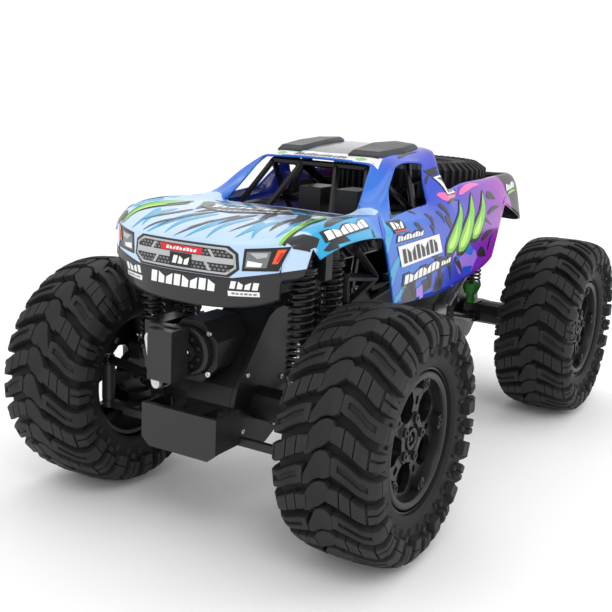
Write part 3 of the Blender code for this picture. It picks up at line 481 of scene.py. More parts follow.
# Half of the shell's control net, nose first, as in the CAD model. Columns: centre, hood, windscreen edge,
# cant rail, mid window, belt, crease, mid side, skirt. None is where the shell is open.
NET = [
    [(0, -238, 150.7), (30, -236.5, 151), (50, -226, 154), (58, -221, 157.5), None,
     None, None, None, None],
    [(0, -239, 169.5), (30, -237, 169.5), (50, -229, 169.5), (60, -224, 169.5), (66, -219, 169.5),
     (69, -215, 171), None, None, None],
    [(0, -238, 188), (30, -236, 187.5), (50, -229, 188), (60, -222, 189), (66, -217, 189.5),
     (72, -211, 188.5), (76, -209, 182), None, None],
    [(0, -224, 194), (29, -223, 194), (48, -219, 194.5), (58, -214, 196), (65, -209, 197),
     (72, -204, 196), (80, -200, 187), None, None],
    [(0, -194, 197.5), (29, -194, 197.5), (47, -193, 197.5), (57, -192, 199), (65, -191, 202),
     (73, -189, 200), (82, -184, 190), None, None],
    [(0, -158, 199), (29, -158, 199), (48, -157, 199), (57, -156, 199.5), (65, -155, 202),
     (73, -156, 200), (82, -160, 190), None, None],
    [(0, -126, 197.5), (29, -125.5, 197), (51, -123.5, 196.5), (58, -121, 197.5), (65, -120, 199),
     (71, -124, 198.5), (80, -138, 187), (79.5, -127, 167), (78, -114, 140)],
    [(0, -88.5, 228.8), (25, -89, 228.5), (43.5, -89.5, 227.3), (53.5, -74, 226), (61, -100, 213.5),
     (70.5, -110, 197.3), (79, -108, 193), (80, -106, 166), (78.5, -100, 138.8)],
    [(0, -60, 235), (25, -60, 235), (43, -59, 234.5), (52.5, -56, 229), (61.5, -68, 214.5),
     (71, -76, 199.5), (79, -77, 193), (80.5, -74, 165), (78.5, -70, 137)],
    [(0, -30, 236.5), (25, -30, 236.5), (43, -30, 236), (54.5, -32, 226.5), (62, -46, 214.5),
     (71, -54, 201), (79, -48, 193), (80.5, -46, 164), (78, -44.5, 135.6)],
    [(0, -4, 236.5), (25, -4, 236.5), (43, -4, 236.5), (52, -6, 234), (64, -22, 221),
     (72, -29, 211), (79, -24, 193), (80.5, -18, 164), (78, -16, 136.5)],
    [None, None, None, None, (66, -14, 204),
     (72, -14, 205.5), (79, -8, 192), (80.5, 2, 164), (78, 4, 138.5)],
    [None, None, None, None, (66, 6, 211),
     (72, 6, 213.5), (79, 14, 191), (80.5, 20, 164), (78, 24, 140.5)],
    [None, None, None, None, (66, 44, 211),
     (72, 44, 213), (79.5, 48, 191), (80, 50, 166), (78, 53, 143.6)],
    [None, None, None, None, (66, 84, 212),
     (72, 84, 214), (79.5, 83, 191.4), (79, 75, 170), (78, 67.2, 149.2)],
    [None, None, None, None, (66, 110, 213),
     (72, 110.5, 215), (78.5, 108, 184), None, None],
    [(0, 139, 211), (25, 139, 211), (44, 138.5, 211), (54, 138, 211.5), (64, 137, 212),
     (72, 134, 212.6), (77.5, 143, 172), None, None],
    [(0, 147, 172), (25, 147, 172), (44, 147, 172), (54, 146.5, 172), (64, 146, 171.5),
     (77.5, 143, 172), None, None, None],
]
WINDSCREEN_ROW, DOOR_ROWS = 6, (7, 8)
SHELL_THICKNESS = 1.2
CREASED_ROWS = {1: 0.6, 2: 0.65, 10: 0.5}
CREASED_COLUMNS = {3: 0.3, 6: 0.5}
SHARP_CORNERS = [(6, 2), (7, 2), (7, 3), (7, 5), (9, 3), (9, 5)]
CORNER_SHARPNESS = 0.85

# Tones of the print, except the pink one, which is a painted highlight along the rail dip.
TONES = {
    "ink": (10, 10, 12), "coal": (26, 27, 30), "white": (236, 236, 236), "silver": (176, 178, 180),
    "grey": (112, 114, 118), "ice": (188, 212, 238), "cyan": (26, 160, 208), "azure": (12, 104, 206),
    "royal": (14, 70, 196), "indigo": (40, 50, 186), "violet": (106, 34, 176), "magenta": (146, 26, 168),
    "orchid": (176, 66, 184), "lavender": (150, 110, 214), "painted_highlight_pink": (238, 96, 170), "red": (206, 26, 34),
    "amber": (236, 86, 36), "lime": (112, 196, 40), "pale_lime": (186, 226, 92),
}
SHADOWED_ICE = (162, 196, 230)
# Where each tone of the side is full, along the truck
SIDE_TONES = [(-240, "ice"), (-206, "ice"), (-204, "cyan"), (-165, "cyan"), (-146, "azure"), (-96, "azure"),
              (-62, "royal"), (-10, "indigo"), (22, "violet"), (70, "magenta"), (150, "orchid")]


def shell_is_open(row, column):
    return (row == WINDSCREEN_ROW and column < 2) or (row in DOOR_ROWS and column in (3, 4))


def sharpen(bm, crease, line, sharpness):
    for first, second in zip(line, line[1:]):
        edge = bm.edges.get((first, second)) if first and second else None
        if edge:
            edge[crease] = sharpness


def shell_net():
    bm = bmesh.new()
    crease = bm.edges.layers.float.new("crease_edge")
    corner = bm.verts.layers.float.new("crease_vert")
    for side in (1, -1):
        verts = [[point and bm.verts.new((side * point[0], *point[1:])) for point in row] for row in NET]
        for r in range(len(NET) - 1):
            for c in range(len(NET[0]) - 1):
                corners = [verts[r][c], verts[r + 1][c], verts[r + 1][c + 1], verts[r][c + 1]]
                if None in corners or shell_is_open(r, c):
                    continue
                bm.faces.new(corners if side > 0 else corners[::-1])
        for row, sharpness in CREASED_ROWS.items():
            sharpen(bm, crease, verts[row], sharpness)
        for column, sharpness in CREASED_COLUMNS.items():
            sharpen(bm, crease, [row[column] for row in verts], sharpness)
        for row, column in SHARP_CORNERS:
            verts[row][column][corner] = CORNER_SHARPNESS
    bmesh.ops.remove_doubles(bm, verts=bm.verts, dist=1e-3)
    bmesh.ops.delete(bm, geom=[vert for vert in bm.verts if not vert.link_faces], context="VERTS")
    bmesh.ops.recalc_face_normals(bm, faces=bm.faces)
    return bm


def gloss(nodes, colour, roughness=0.2):
    """Clear-coated print: a faint orange peel over the colour."""
    nodes.set(Base_Color=colour, Roughness=roughness, Specular_IOR_Level=0.35, Coat_Weight=0.35,
              Coat_Roughness=0.07)
    nodes.bump(nodes.grain(120.0, 2.0), 0.04, 0.0006)
    return nodes.material


def shell_paint():
    """Icy hood, a side that runs from cyan through blue to magenta, and a charcoal bumper cover and tail."""
    nodes = Nodes("printed_shell")
    split = nodes.add("ShaderNodeSeparateXYZ", {"Vector": nodes.position()}).outputs
    out = nodes.math("ABSOLUTE", split["X"])
    warp = nodes.math("MULTIPLY", nodes.math("SUBTRACT", nodes.grain(22.0, 3.0), 0.5), 0.05)
    along = nodes.math("ADD", split["Y"], warp)
    ramp = nodes.add("ShaderNodeValToRGB", {"Fac": nodes.span(along, -0.240, 0.150)})
    tones = ramp.color_ramp.elements
    while len(tones) < len(SIDE_TONES):
        tones.new(0.5)
    for tone, (place, colour) in zip(tones, SIDE_TONES):
        tone.position, tone.color = (place + 240) / 390, rgb(*TONES[colour])
    ice = nodes.mix(nodes.span(nodes.grain(12.0, 2.0), 0.35, 0.65), rgb(*TONES["ice"]), rgb(*SHADOWED_ICE))
    beyond_hood = nodes.span(nodes.math("ADD", out, warp), 0.060, 0.0606)
    on_side = nodes.math("MAXIMUM", beyond_hood, nodes.span(along, -0.128, -0.127))
    colour = nodes.mix(on_side, ice, ramp.outputs["Color"])
    flare = nodes.math("MAXIMUM", nodes.math("SUBTRACT", out, 0.034), 0.0)
    lip = nodes.math("ADD", 0.1695, nodes.math("MULTIPLY", flare, 0.20))
    under_lip = nodes.span(nodes.math("SUBTRACT", lip, split["Z"]), 0.0, 0.0002)
    bumper = nodes.math("MULTIPLY", under_lip, nodes.span(split["Y"], -0.190, -0.189, 1.0, 0.0))
    tail_slant = nodes.math("MULTIPLY", nodes.math("SUBTRACT", split["Z"], 0.195), 0.9)
    tail_line = nodes.math("ADD", split["Y"], tail_slant)
    tail = nodes.span(nodes.math("ADD", tail_line, warp), 0.100, 0.1006)
    dark = nodes.math("MAXIMUM", bumper, tail)
    return gloss(nodes, nodes.mix(dark, colour, rgb(*TONES["coal"])), nodes.span(dark, 0.0, 1.0, 0.2, 0.42))


def flat_paint(name, colour, roughness=0.2):
    return gloss(Nodes(name), rgb(*colour), roughness)


CHARTS = {
    "side": lambda a, b, side: (Vector((side * 200, a, b)), Vector((-side, 0, 0))),
    "fender": lambda a, b, side: (Vector((side * (79.5 + 80), a, b + 46)),
                                  Vector((-side * 80, 0, -46)).normalized()),
    "hood": lambda a, b, side: (Vector((side * a, b, 300)), Vector((0, 0, -1))),
    "nose": lambda a, b, side: (Vector((side * a, -320, b)), Vector((0, 1, 0))),
}
DECAL_STEP = 2.6
DECAL_LIFT = 0.14
ONCE, BOTH = (1,), (1, -1)


class Print:
    """Flat shapes laid on the shell, gathered by colour."""

    def __init__(self, shell):
        self.tree = BVHTree.FromBMesh(shell)
        self.sheets = {}
        self.chart, self.sides = "side", BOTH

    def lay(self, tone, points, layer=1, chart=None, sides=None):
        chart = chart or self.chart
        for side in sides or self.sides:
            sheet = self.sheets.setdefault(tone, bmesh.new())
            bm = bmesh.new()
            bm.faces.new([bm.verts.new((a, b, 0)) for a, b in points])
            bmesh.ops.triangulate(bm, faces=bm.faces)
            for axis in (0, 1):
                low, high = min(p[axis] for p in points), max(p[axis] for p in points)
                for i in range(1, int((high - low) / DECAL_STEP) + 1):
                    cut, normal = [0, 0, 0], [0, 0, 0]
                    cut[axis], normal[axis] = low + i * DECAL_STEP, 1
                    whole = bm.verts[:] + bm.edges[:] + bm.faces[:]
                    bmesh.ops.bisect_plane(bm, geom=whole, plane_co=cut, plane_no=normal)
            lost = []
            for vert in bm.verts:
                start, way = CHARTS[chart](vert.co.x, vert.co.y, side)
                place, normal, _, _ = self.tree.ray_cast(start, way)
                if place is None:
                    lost.append(vert)
                else:
                    normal = -normal if normal.dot(way) > 0 else normal
                    vert.co = place + normal * DECAL_LIFT * layer
            bmesh.ops.delete(bm, geom=lost, context="VERTS")
            for face in bm.faces:
                face.normal_update()
                way = CHARTS[chart](0, 0, side)[1]
                if face.normal.dot(way) > 0:
                    face.normal_flip()
            part = bpy.data.meshes.new("decal")
            bm.to_mesh(part)
            bm.free()
            sheet.from_mesh(part)
            bpy.data.meshes.remove(part)

    def streak(self, tone, start, end, width, bend=0.0, **where):
        """A flame or scratch: pointed at both ends, fat near its start, bent sideways."""
        start, end = Vector(start), Vector(end)
        along = end - start
        across = Vector((-along.y, along.x)).normalized()
        left, right = [], []
        for i in range(11):
            t = i / 10
            spine = start + along * t + across * bend * sin(pi * t)
            half = across * width / 2 * sin(pi * t**0.6) ** 0.8
            left.append(spine + half)
            right.append(spine - half)
        outline = left + right[-2:0:-1]
        self.lay(tone, [(p.x, p.y) for p in outline], **where)

    def streaks(self, tone, table, bend, **where):
        for a, b, c, d, width in table:
            self.streak(tone, (a, b), (c, d), width, bend, **where)

    def blocks(self, tone, start, end, height, count, lean=0.25, gap=0.28, **where):
        """A row of slanted blocks in place of lettering; every third one is notched."""
        start, end = Vector(start), Vector(end)
        step = (end - start) / count
        up = Vector((-step.y, step.x)).normalized() * height * (1 if step.x >= 0 else -1)
        slant = step.normalized() * height * lean
        for i in range(count):
            low, high = start + step * (i + gap / 2), start + step * (i + 1 - gap / 2)
            tops = (1.0, 0.62) if i % 3 == 1 else (0.62, 1.0) if i % 3 == 2 else (1.0, 1.0)
            corners = [low, high, high + (up + slant) * tops[1], low + (up + slant) * tops[0]]
            self.lay(tone, [(p.x, p.y) for p in corners], **where)

    def finish(self):
        for tone, sheet in self.sheets.items():
            bmesh.ops.scale(sheet, vec=(MM, MM, MM), verts=sheet.verts)
            mesh = bpy.data.meshes.new(f"print_{tone}")
            sheet.to_mesh(mesh)
            sheet.free()
            paint = flat_paint(f"print_{tone}", TONES[tone], 0.32 if tone in ("ink", "coal") else 0.22)
            piece(f"print_{tone}", mesh, paint, "chassis", 40)


def hood_print(pr):
    pr.chart, pr.sides = "hood", ONCE
    # Charcoal band at the foot of the windscreen, with a white slanted block row
    pr.lay("coal", [(-50, -138), (-30, -152), (0, -154), (30, -160), (52, -152), (52, -136), (0, -134)], 1)
    pr.lay("cyan", [(-46, -150), (-24, -158), (-4, -156), (20, -164), (44, -160), (30, -153), (-10, -150)], 2)
    for a, b, w in (((-44, -152), (-30, -186), 9), ((-22, -154), (-24, -196), 8),
                    ((34, -158), (46, -196), 9), ((12, -160), (22, -192), 8)):
        pr.streak("coal", a, b, w, 3, layer=2)
    pr.lay("coal", [(-34, -176), (14, -146), (30, -164), (-4, -184), (-16, -184)], 3)
    pr.blocks("white", (-26, -176), (20, -158), 7, 9, layer=4)
    pr.blocks("white", (-16, -184), (22, -168), 3, 12, layer=4)
    # Flames that run down the hood
    cyan = [(-50, -196, -44, -232, 5), (-40, -190, -38, -228, 5), (-22, -196, -30, -236, 7),
            (-8, -190, -16, -234, 6),
            (4, -196, 0, -236, 6), (18, -190, 14, -234, 5), (28, -196, 30, -228, 6), (36, -190, 40, -226, 5),
            (46, -186, 52, -220, 6), (54, -176, 58, -206, 5), (-54, -176, -60, -206, 6)]
    pr.streaks("cyan", cyan[::2], 3)
    pr.streaks("cyan", cyan[1::2], -3)
    coal = [(-30, -186, -44, -222, 4), (-12, -184, -26, -228, 4), (6, -186, -6, -226, 3),
            (14, -180, 8, -214, 5),
            (24, -184, 22, -224, 3), (40, -176, 44, -214, 4), (48, -170, 60, -224, 3),
            (-46, -170, -56, -212, 5),
            (0, -206, -8, -236, 3), (-20, -210, -34, -234, 3)]
    pr.streaks("coal", coal[::2], 2, layer=2)
    pr.streaks("coal", coal[1::2], -2, layer=2)
    pr.streak("ink", (50, -160), (58, -232), 8, 3, layer=2, sides=BOTH)
    pr.streak("lime", (51, -162), (57, -228), 5.5, 3, layer=3, sides=BOTH)
    pr.streak("pale_lime", (52, -186), (56, -222), 2, 2, layer=4, sides=BOTH)


def nose_print(pr):
    pr.chart, pr.sides = "nose", BOTH
    grille = [(-35, 182.8), (-29.7, 186), (29.7, 186), (35, 182.8), (36, 175), (30.5, 170.8), (-30.5, 170.8),
              (-36, 175)]
    pr.lay("coal", [(a * 1.05, 178.4 + (b - 178.4) * 1.16) for a, b in grille], 1, sides=ONCE)
    pr.lay("silver", grille, 2, sides=ONCE)
    pr.lay("ink", [(a * 0.965, 178.4 + (b - 178.4) * 0.84) for a, b in grille], 3, sides=ONCE)
    for row, z in enumerate((183.4, 181.6, 175.4, 173.4)):
        for i in range(24):
            x = -31 + i * 2.65 + (row % 2) * 1.3
            if abs(x) < 31.5:
                pr.lay("grey", [(x + 1.05 * cos(k * pi / 3), z + 0.75 * sin(k * pi / 3)) for k in range(6)],
                       4, sides=ONCE)
    pr.lay("silver", [(-34.5, 180.2), (34.5, 180.2), (34.5, 176.8), (-34.5, 176.8)], 4, sides=ONCE)
    pr.lay("silver", [(18, 184.4), (20, 184.4), (23, 180.2), (21, 180.2)], 5)
    pr.lay("silver", [(16, 176.8), (18, 176.8), (21, 172.4), (19, 172.4)], 5)
    pr.lay("red", [(-15.2, 184.4), (15.2, 184.4), (14.6, 180.6), (-14.6, 180.6)], 6, sides=ONCE)
    pr.blocks("white", (-11, 181.5), (11, 181.5), 1.9, 9, layer=7, sides=ONCE)
    pr.lay("ink", [(-7.8, 180), (7.8, 180), (7.8, 172), (-7.8, 172)], 6, sides=ONCE)
    pr.blocks("white", (-6.4, 173.6), (6, 173.6), 4.6, 3, layer=7, sides=ONCE)
    pr.lay("ink", [(40, 186.5), (63, 189), (58, 175), (39, 173.8)], 1)
    pr.lay("grey", [(41.5, 185), (54, 186), (52, 176.6), (40.6, 175.6)], 2)
    # Headlight lens: the white bar and the silver wedge laid on the grey are painted highlights.
    pr.lay("white", [(42, 180), (50, 179), (49, 176.8), (41.4, 176.6)], 3)
    pr.lay("silver", [(43, 184.4), (52.4, 185), (52, 182.6), (47, 181.4)], 3)
    pr.lay("amber", [(57, 187), (61, 187.4), (57.4, 179.2), (54.6, 179)], 3)
    pr.lay("red", [(58.4, 185.4), (60, 185.6), (57.6, 180.4), (56.4, 180.4)], 4)
    pr.blocks("white", (31.5, 163.2), (48, 163.2), 4.4, 4, layer=1)
    pr.lay("white", [(31.2, 161.8), (48.4, 162.2), (48.4, 159.4), (31.4, 158.8)], 1)
    pr.blocks("grey", (33, 159.9), (47, 160.2), 1.1, 6, layer=2)
    pr.blocks("white", (-23.6, 160.4), (23.6, 160.4), 6.8, 8, 0.12, 0.22, layer=1, sides=ONCE)
    pr.lay("ink", [(-50, 171.3), (-32, 168.9), (32, 168.9), (50, 171.3), (50, 170.5), (32, 168.1),
                   (-32, 168.1), (-50, 170.5)], 1, sides=ONCE)


# Streaks as start, end and width
DOOR_SCRATCHES = [
    (-92, 192, -76, 182, 3), (-70, 196, -58, 184, 3.4), (-52, 196, -40, 186, 3), (-40, 192, -22, 176, 5),
    (-60, 168, -46, 158, 5), (-36, 176, -24, 166, 5), (-90, 152, -84, 140, 5), (-64, 156, -56, 142, 6),
    (-46, 156, -38, 141, 5), (-30, 158, -20, 143, 4), (-96, 200, -80, 196, 2.4), (-66, 188, -58, 180, 3),
]
QUARTER_SHARDS = [
    (34, 166, 60, 172, 5), (30, 158, 50, 152, 8), (22, 186, 56, 176, 3), (-30, 200, -6, 200, 2.4),
    (44, 186, 70, 190, 4), (-44, 200, -30, 188, 4), (52, 156, 60, 170, 3), (46, 200, 64, 196, 6),
    (-20, 160, 4, 143, 5),
]
PILLAR_SWIRLS = [(-146, 176, -126, 206, 7, -6), (-136, 168, -118, 196, 8, 5), (-124, 150, -106, 176, 9, 4),
                 (-118, 140, -92, 164, 5, -4)]


def side_print(pr):
    pr.chart, pr.sides = "side", BOTH
    # Front fender: charcoal diamond and arch patch, a white block row on a dark one
    pr.lay("coal", [(-220, 205), (-210, 204), (-205, 197), (-211, 190), (-219, 197)], 2, chart="fender")
    pr.lay("coal", [(-206, 189), (-196, 195), (-186, 195), (-182, 187), (-196, 182)], 2, chart="fender")
    pr.blocks("ink", (-203, 193), (-152, 196), 8.4, 7, 0.12, 0.0, chart="fender", layer=3)
    pr.blocks("white", (-201, 194), (-153, 197), 6.4, 7, 0.12, 0.16, chart="fender", layer=4)
    pr.streak("coal", (-158, 176), (-150, 194), 5, 1, layer=2)
    pr.streak("coal", (-196, 204), (-158, 207), 4, 2, chart="fender", layer=2)
    # Foot of the windscreen pillar: bright swirls over blue, and the charcoal triangle ahead of the window
    for a, b, c, d, width, bend in PILLAR_SWIRLS:
        pr.streak("cyan", (a, b), (c, d), width, bend)
    pr.streak("royal", (-140, 184), (-124, 200), 4, 2, layer=2)
    pr.lay("coal", [(-116, 200), (-92, 222), (-86, 216), (-98, 203)], 2, chart="fender")
    # Door: thin dark scratches, tag, block row, label and bold row
    pr.streaks("ink", DOOR_SCRATCHES, 1.5, layer=2)
    for corners in ([(-104, 150), (-84, 152), (-80, 138), (-102, 139)],
                    [(-74, 150), (-58, 151), (-56, 143), (-70, 140)],
                    [(-48, 150), (-34, 150), (-36, 138), (-50, 138)]):
        pr.lay("ink", corners, 1)
    pr.lay("lavender", [(-82, 146), (-72, 148), (-68, 138), (-78, 137)], 2)
    pr.lay("ink", [(-126, 195), (-107, 195), (-104, 188), (-123, 188)], 3)
    pr.blocks("white", (-123.5, 190.4), (-108, 190.4), 3.8, 3, layer=4)
    pr.lay("red", [(-122.5, 189.6), (-105, 189.4), (-104.6, 188.4), (-122, 188.4)], 5)
    pr.blocks("ink", (-119, 181.4), (-77.5, 181.8), 5.4, 9, 0.2, 0.0, layer=3)
    pr.blocks("white", (-118.5, 182.2), (-78, 182.6), 3.6, 9, 0.2, 0.2, layer=4)
    pr.lay("white", [(-117, 179), (-51, 180.5), (-43, 166.8), (-108.5, 164.4)], 4)
    pr.blocks("ink", (-106.5, 166.4), (-50, 168.4), 10.2, 8, -0.45, 0.3, layer=5)
    pr.blocks("ink", (-105, 150.6), (-24, 156), 8.6, 9, 0.1, 0.0, layer=3)
    pr.blocks("white", (-103, 151.8), (-46, 155.8), 6.2, 8, 0.1, 0.2, layer=4)
    pr.blocks("white", (-43, 156.6), (-26, 157.6), 3.4, 4, 0.1, 0.2, layer=4)
    # Rear quarter: lavender and blue patches, violet shards and the lime claw marks
    pr.lay("lavender", [(-14, 168), (24, 160), (30, 154), (20, 142), (-4, 145), (-22, 160)], 1)
    pr.lay("azure", [(-16, 166), (10, 166), (20, 160), (16, 157), (0, 161), (-14, 156)], 2)
    pr.lay("royal", [(2, 150), (22, 148), (20, 142), (-2, 143)], 2)
    pr.streaks("ink", QUARTER_SHARDS, 1.5, layer=2)
    for a, b, c, d, w in ((-34, 165, -8, 199, 15), (-12, 163, 16, 203, 17), (14, 170, 39, 203, 14)):
        pr.streak("ink", (a - 2, b - 2.6), (c + 1.4, d + 2), w + 4.6, -5, layer=3)
        pr.streak("lime", (a, b), (c, d), w, -5, layer=4)
        pr.streak("pale_lime", (a + 2, b + 3), (c - 10, d - 14), w * 0.5, -4, layer=5)
    # Two pink streaks along the dip of the rail: a painted highlight, not print.
    pr.streak("painted_highlight_pink", (-40, 206), (2, 210), 6, -4, layer=1)
    pr.streak("painted_highlight_pink", (-4, 204), (40, 209), 4, 2, layer=1)
    pr.blocks("white", (94, 200), (118, 202), 5, 5, 0.3, 0.2, layer=3)
    pr.streak("lime", (96, 198), (122, 199.6), 2.2, 0.4, layer=3)
    pr.streak("magenta", (78, 186), (98, 196), 6, 2, layer=2)


def roof_print(pr):
    pr.chart, pr.sides = "hood", BOTH
    # Front banner with two green diamonds, the grey channel, and the plate on the pillar behind the window
    banner = [(-47, -86.5), (-24, -89.5), (24, -89.5), (47, -86.5), (43, -72), (0, -76), (-43, -72)]
    pr.lay("white", banner, 1, sides=ONCE)
    pr.blocks("ink", (-21, -85.5), (21, -85.5), 5.2, 11, layer=2, sides=ONCE)
    pr.lay("lime", [(27, -83), (32, -86.5), (37, -82), (32, -79)], 2)
    pr.lay("grey", [(-17, -76), (17, -76), (17, -6), (-17, -6)], 1, sides=ONCE)
    pr.streak("ink", (48, -58), (46, -20), 3, 2, layer=2)
    pr.streak("ink", (-44, 222), (-30, 231), 2.4, 1, chart="fender", layer=2)
    pr.lay("ink", PLATE_TAG, 2, chart="fender")
    border = ((-1, 1), (1, 1), (1, -1), (-1, -1))
    pr.lay("ink", [(a + da, b + db) for (a, b), (da, db) in zip(PLATE, border)], 2, chart="fender")
    pr.lay("white", PLATE, 3, chart="fender")
    (a, b), (c, d), (e, f), (g, h) = PLATE
    for share in (0.12, 0.54):
        low = (g + (e - g) * share, h + (f - h) * share)
        high = (a + (c - a) * share, b + (d - b) * share)
        wide = (e - g) * 0.3
        mid = ((low[0] + high[0]) / 2 + wide * 0.9, (low[1] + high[1]) / 2)
        pr.lay("ink", [(low[0] + 0.6, low[1] + 1.6), (low[0] + wide, low[1] + 1.6),
                       (mid[0] + wide * 0.4, mid[1]),
                       (high[0] + wide, high[1] - 1.6), (high[0] + 0.6, high[1] - 1.6), mid], 4,
               chart="fender")


PLATE = [(-32, 226), (-14, 227), (-8, 210), (-26, 209)]
PLATE_TAG = [(-36, 234), (-18, 235), (-15, 229), (-33, 228)]
WEDGE = [(19, -79), (41, -75), (45, -40), (42, -12), (22, -8), (17, -40)]


def roof_wedges(tree):
    """The two raised charcoal panels on the roof, either side of the channel."""
    shapes = []
    for side in (1, -1):
        bm = bmesh.new()
        loops = []
        middle = (sum(a for a, _ in WEDGE) / len(WEDGE), sum(b for _, b in WEDGE) / len(WEDGE))
        for inset, lift in ((1.0, -0.4), (0.99, 1.6), (0.86, 3.6)):
            loop = []
            for a, b in WEDGE:
                a, b = middle[0] + (a - middle[0]) * inset, middle[1] + (b - middle[1]) * inset
                place = tree.ray_cast(Vector((side * a, b, 300)), Vector((0, 0, -1)))[0]
                loop.append(bm.verts.new((place.x, place.y, place.z + lift)))
            loops.append(loop)
        for first, second in zip(loops, loops[1:]):
            for i in range(len(first)):
                j = (i + 1) % len(first)
                bm.faces.new((first[i], first[j], second[j], second[i]))
        bm.faces.new(loops[0][::-1])
        bm.faces.new(loops[-1])
        shapes.append(finished(bm))
    bevelled(piece("roof_wedges", joined(shapes), CHARCOAL, "chassis", 25), 0.8, 3)


def shell():
    net = shell_net()
    mesh = joined([net])
    obj = bpy.data.objects.new("printed_shell", mesh)
    bpy.context.scene.collection.objects.link(obj)
    smooth = obj.modifiers.new("Smooth", "SUBSURF")
    smooth.levels = smooth.render_levels = 3
    smooth.boundary_smooth = "PRESERVE_CORNERS"
    bpy.context.view_layer.update()
    outer = obj.evaluated_get(bpy.context.evaluated_depsgraph_get()).to_mesh()
    surface = bmesh.new()
    surface.from_mesh(outer)
    bmesh.ops.scale(surface, vec=(1000, 1000, 1000), verts=surface.verts)
    thick = obj.modifiers.new("Thickness", "SOLIDIFY")
    thick.thickness, thick.offset = SHELL_THICKNESS * MM, -1.0
    mesh.materials.append(shell_paint())
    mesh.shade_smooth()
    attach(obj, "chassis")
    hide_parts("body_shell")
    pr = Print(surface)
    hood_print(pr)
    nose_print(pr)
    side_print(pr)
    roof_print(pr)
    pr.finish()
    roof_wedges(pr.tree)
    surface.free()


# ---------------------------------------------------------------- running gear

SHOCKS = {
    "front_left_fore": (56.0, -194.25, "front_axle"), "front_left_aft": (56.0, -160.25, "front_axle"),
    "front_right_fore": (-56.0, -194.25, "front_axle"), "front_right_aft": (-56.0, -160.25, "front_axle"),
    "rear_left_aft": (30.0, 155.25, "rear_axle"), "rear_right_aft": (-30.0, 155.25, "rear_axle"),
}
SPRING_LOW, SPRING_HIGH = 108.2, 169.6
SPRING_TURNS, SPRING_RADIUS, WIRE_RADIUS = 15, 7.2, 0.95
END_CLOSENESS = 0.03
COLLAR_FOOT = 170.0
CYLINDER_GROOVES = (130, 133, 136, 139, 142, 174, 176.5)
COUNTER_Z = 114.28
# Each axle's y, the way out of the truck along y, and the motor's x
MOTORS = {"front_axle": (-AXLE_Y, -1, -10.0), "rear_axle": (AXLE_Y, 1, -4.2)}
MOTOR_BOSSES, MOTOR_SCREWS = 8, 12.9
CASE_SCREWS = ((18, -18), (-22, -14), (26, 12), (-18, 22), (0, -28))


def coil(x, y):
    """A spring whose end turns lie closer together."""
    rings, steps, sides = [], SPRING_TURNS * 18, 8
    height = SPRING_HIGH - SPRING_LOW - 2 * WIRE_RADIUS
    for i in range(steps + 1):
        t = i / steps
        turn = 2 * pi * SPRING_TURNS * t
        rise = height * (t - END_CLOSENESS * sin(2 * pi * t))
        centre = Vector((x + SPRING_RADIUS * cos(turn), y + SPRING_RADIUS * sin(turn),
                         SPRING_LOW + WIRE_RADIUS + rise))
        outward = Vector((cos(turn), sin(turn), 0))
        rings.append([centre + WIRE_RADIUS * (outward * cos(a) + Vector((0, 0, 1)) * sin(a))
                      for a in (2 * pi * k / sides for k in range(sides))])
    bm = bmesh.new()
    verts = [[bm.verts.new(p) for p in ring] for ring in rings]
    for first, second in zip(verts, verts[1:]):
        for k in range(sides):
            bm.faces.new((first[k], first[(k + 1) % sides], second[(k + 1) % sides], second[k]))
    bm.faces.new(verts[0][::-1])
    bm.faces.new(verts[-1])
    bmesh.ops.recalc_face_normals(bm, faces=bm.faces)
    return bm


def springs():
    for name, (x, y, axle) in SHOCKS.items():
        made = bpy.data.objects.new(f"{name}_spring", joined([coil(x, y)]))
        made.data.materials.append(SPRING)
        made.data.shade_smooth()
        bpy.context.scene.collection.objects.link(made)
        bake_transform(made)
        outline = [(5.1, 0), (8.9, 0), (8.9, 0.9), (8.4, 1.3), (8.4, 2.2), (8.9, 2.6), (8.9, 3.2), (5.1, 3.2)]
        rings = [turned(outline, (x, y, COLLAR_FOOT), "z", 32)]
        for z in CYLINDER_GROOVES:
            rings.append(turned([(5.05, 0), (5.5, 0.3), (5.5, 1.0), (5.05, 1.3)], (x, y, z), "z", 28))
        piece(f"{name}_collar_ring", joined(rings), SATIN, "chassis", 40)
        if axle == "rear_axle":
            lip = turned([(6.0, 98.5), (8.7, 105), (8.7, 108.0), (7.6, 108.0), (7.6, 106.2), (2.2, 106.2),
                          (2.2, 98.5)],
                         (x, y, 0), "z", 36)
            piece(f"{name}_perch_cup", joined([lip]), GREEN, axle, 40)


def screw(place, axis, radius=1.9, depth=1.2):
    """A cap screw's head with a hexagon socket, standing on a face; axis is "x", "y" or "z", signed."""
    sign, letter = (-1 if axis[0] == "-" else 1), axis[-1]
    socket, rim, seat = radius * 0.5, radius * 0.86, depth * 0.35
    profile = [(0.05, 0), (radius, 0), (radius, depth * 0.75), (rim, depth), (socket, depth), (socket, seat),
               (0.05, seat)]
    return turned([(r, sign * a) for r, a in profile], place, letter, 18)


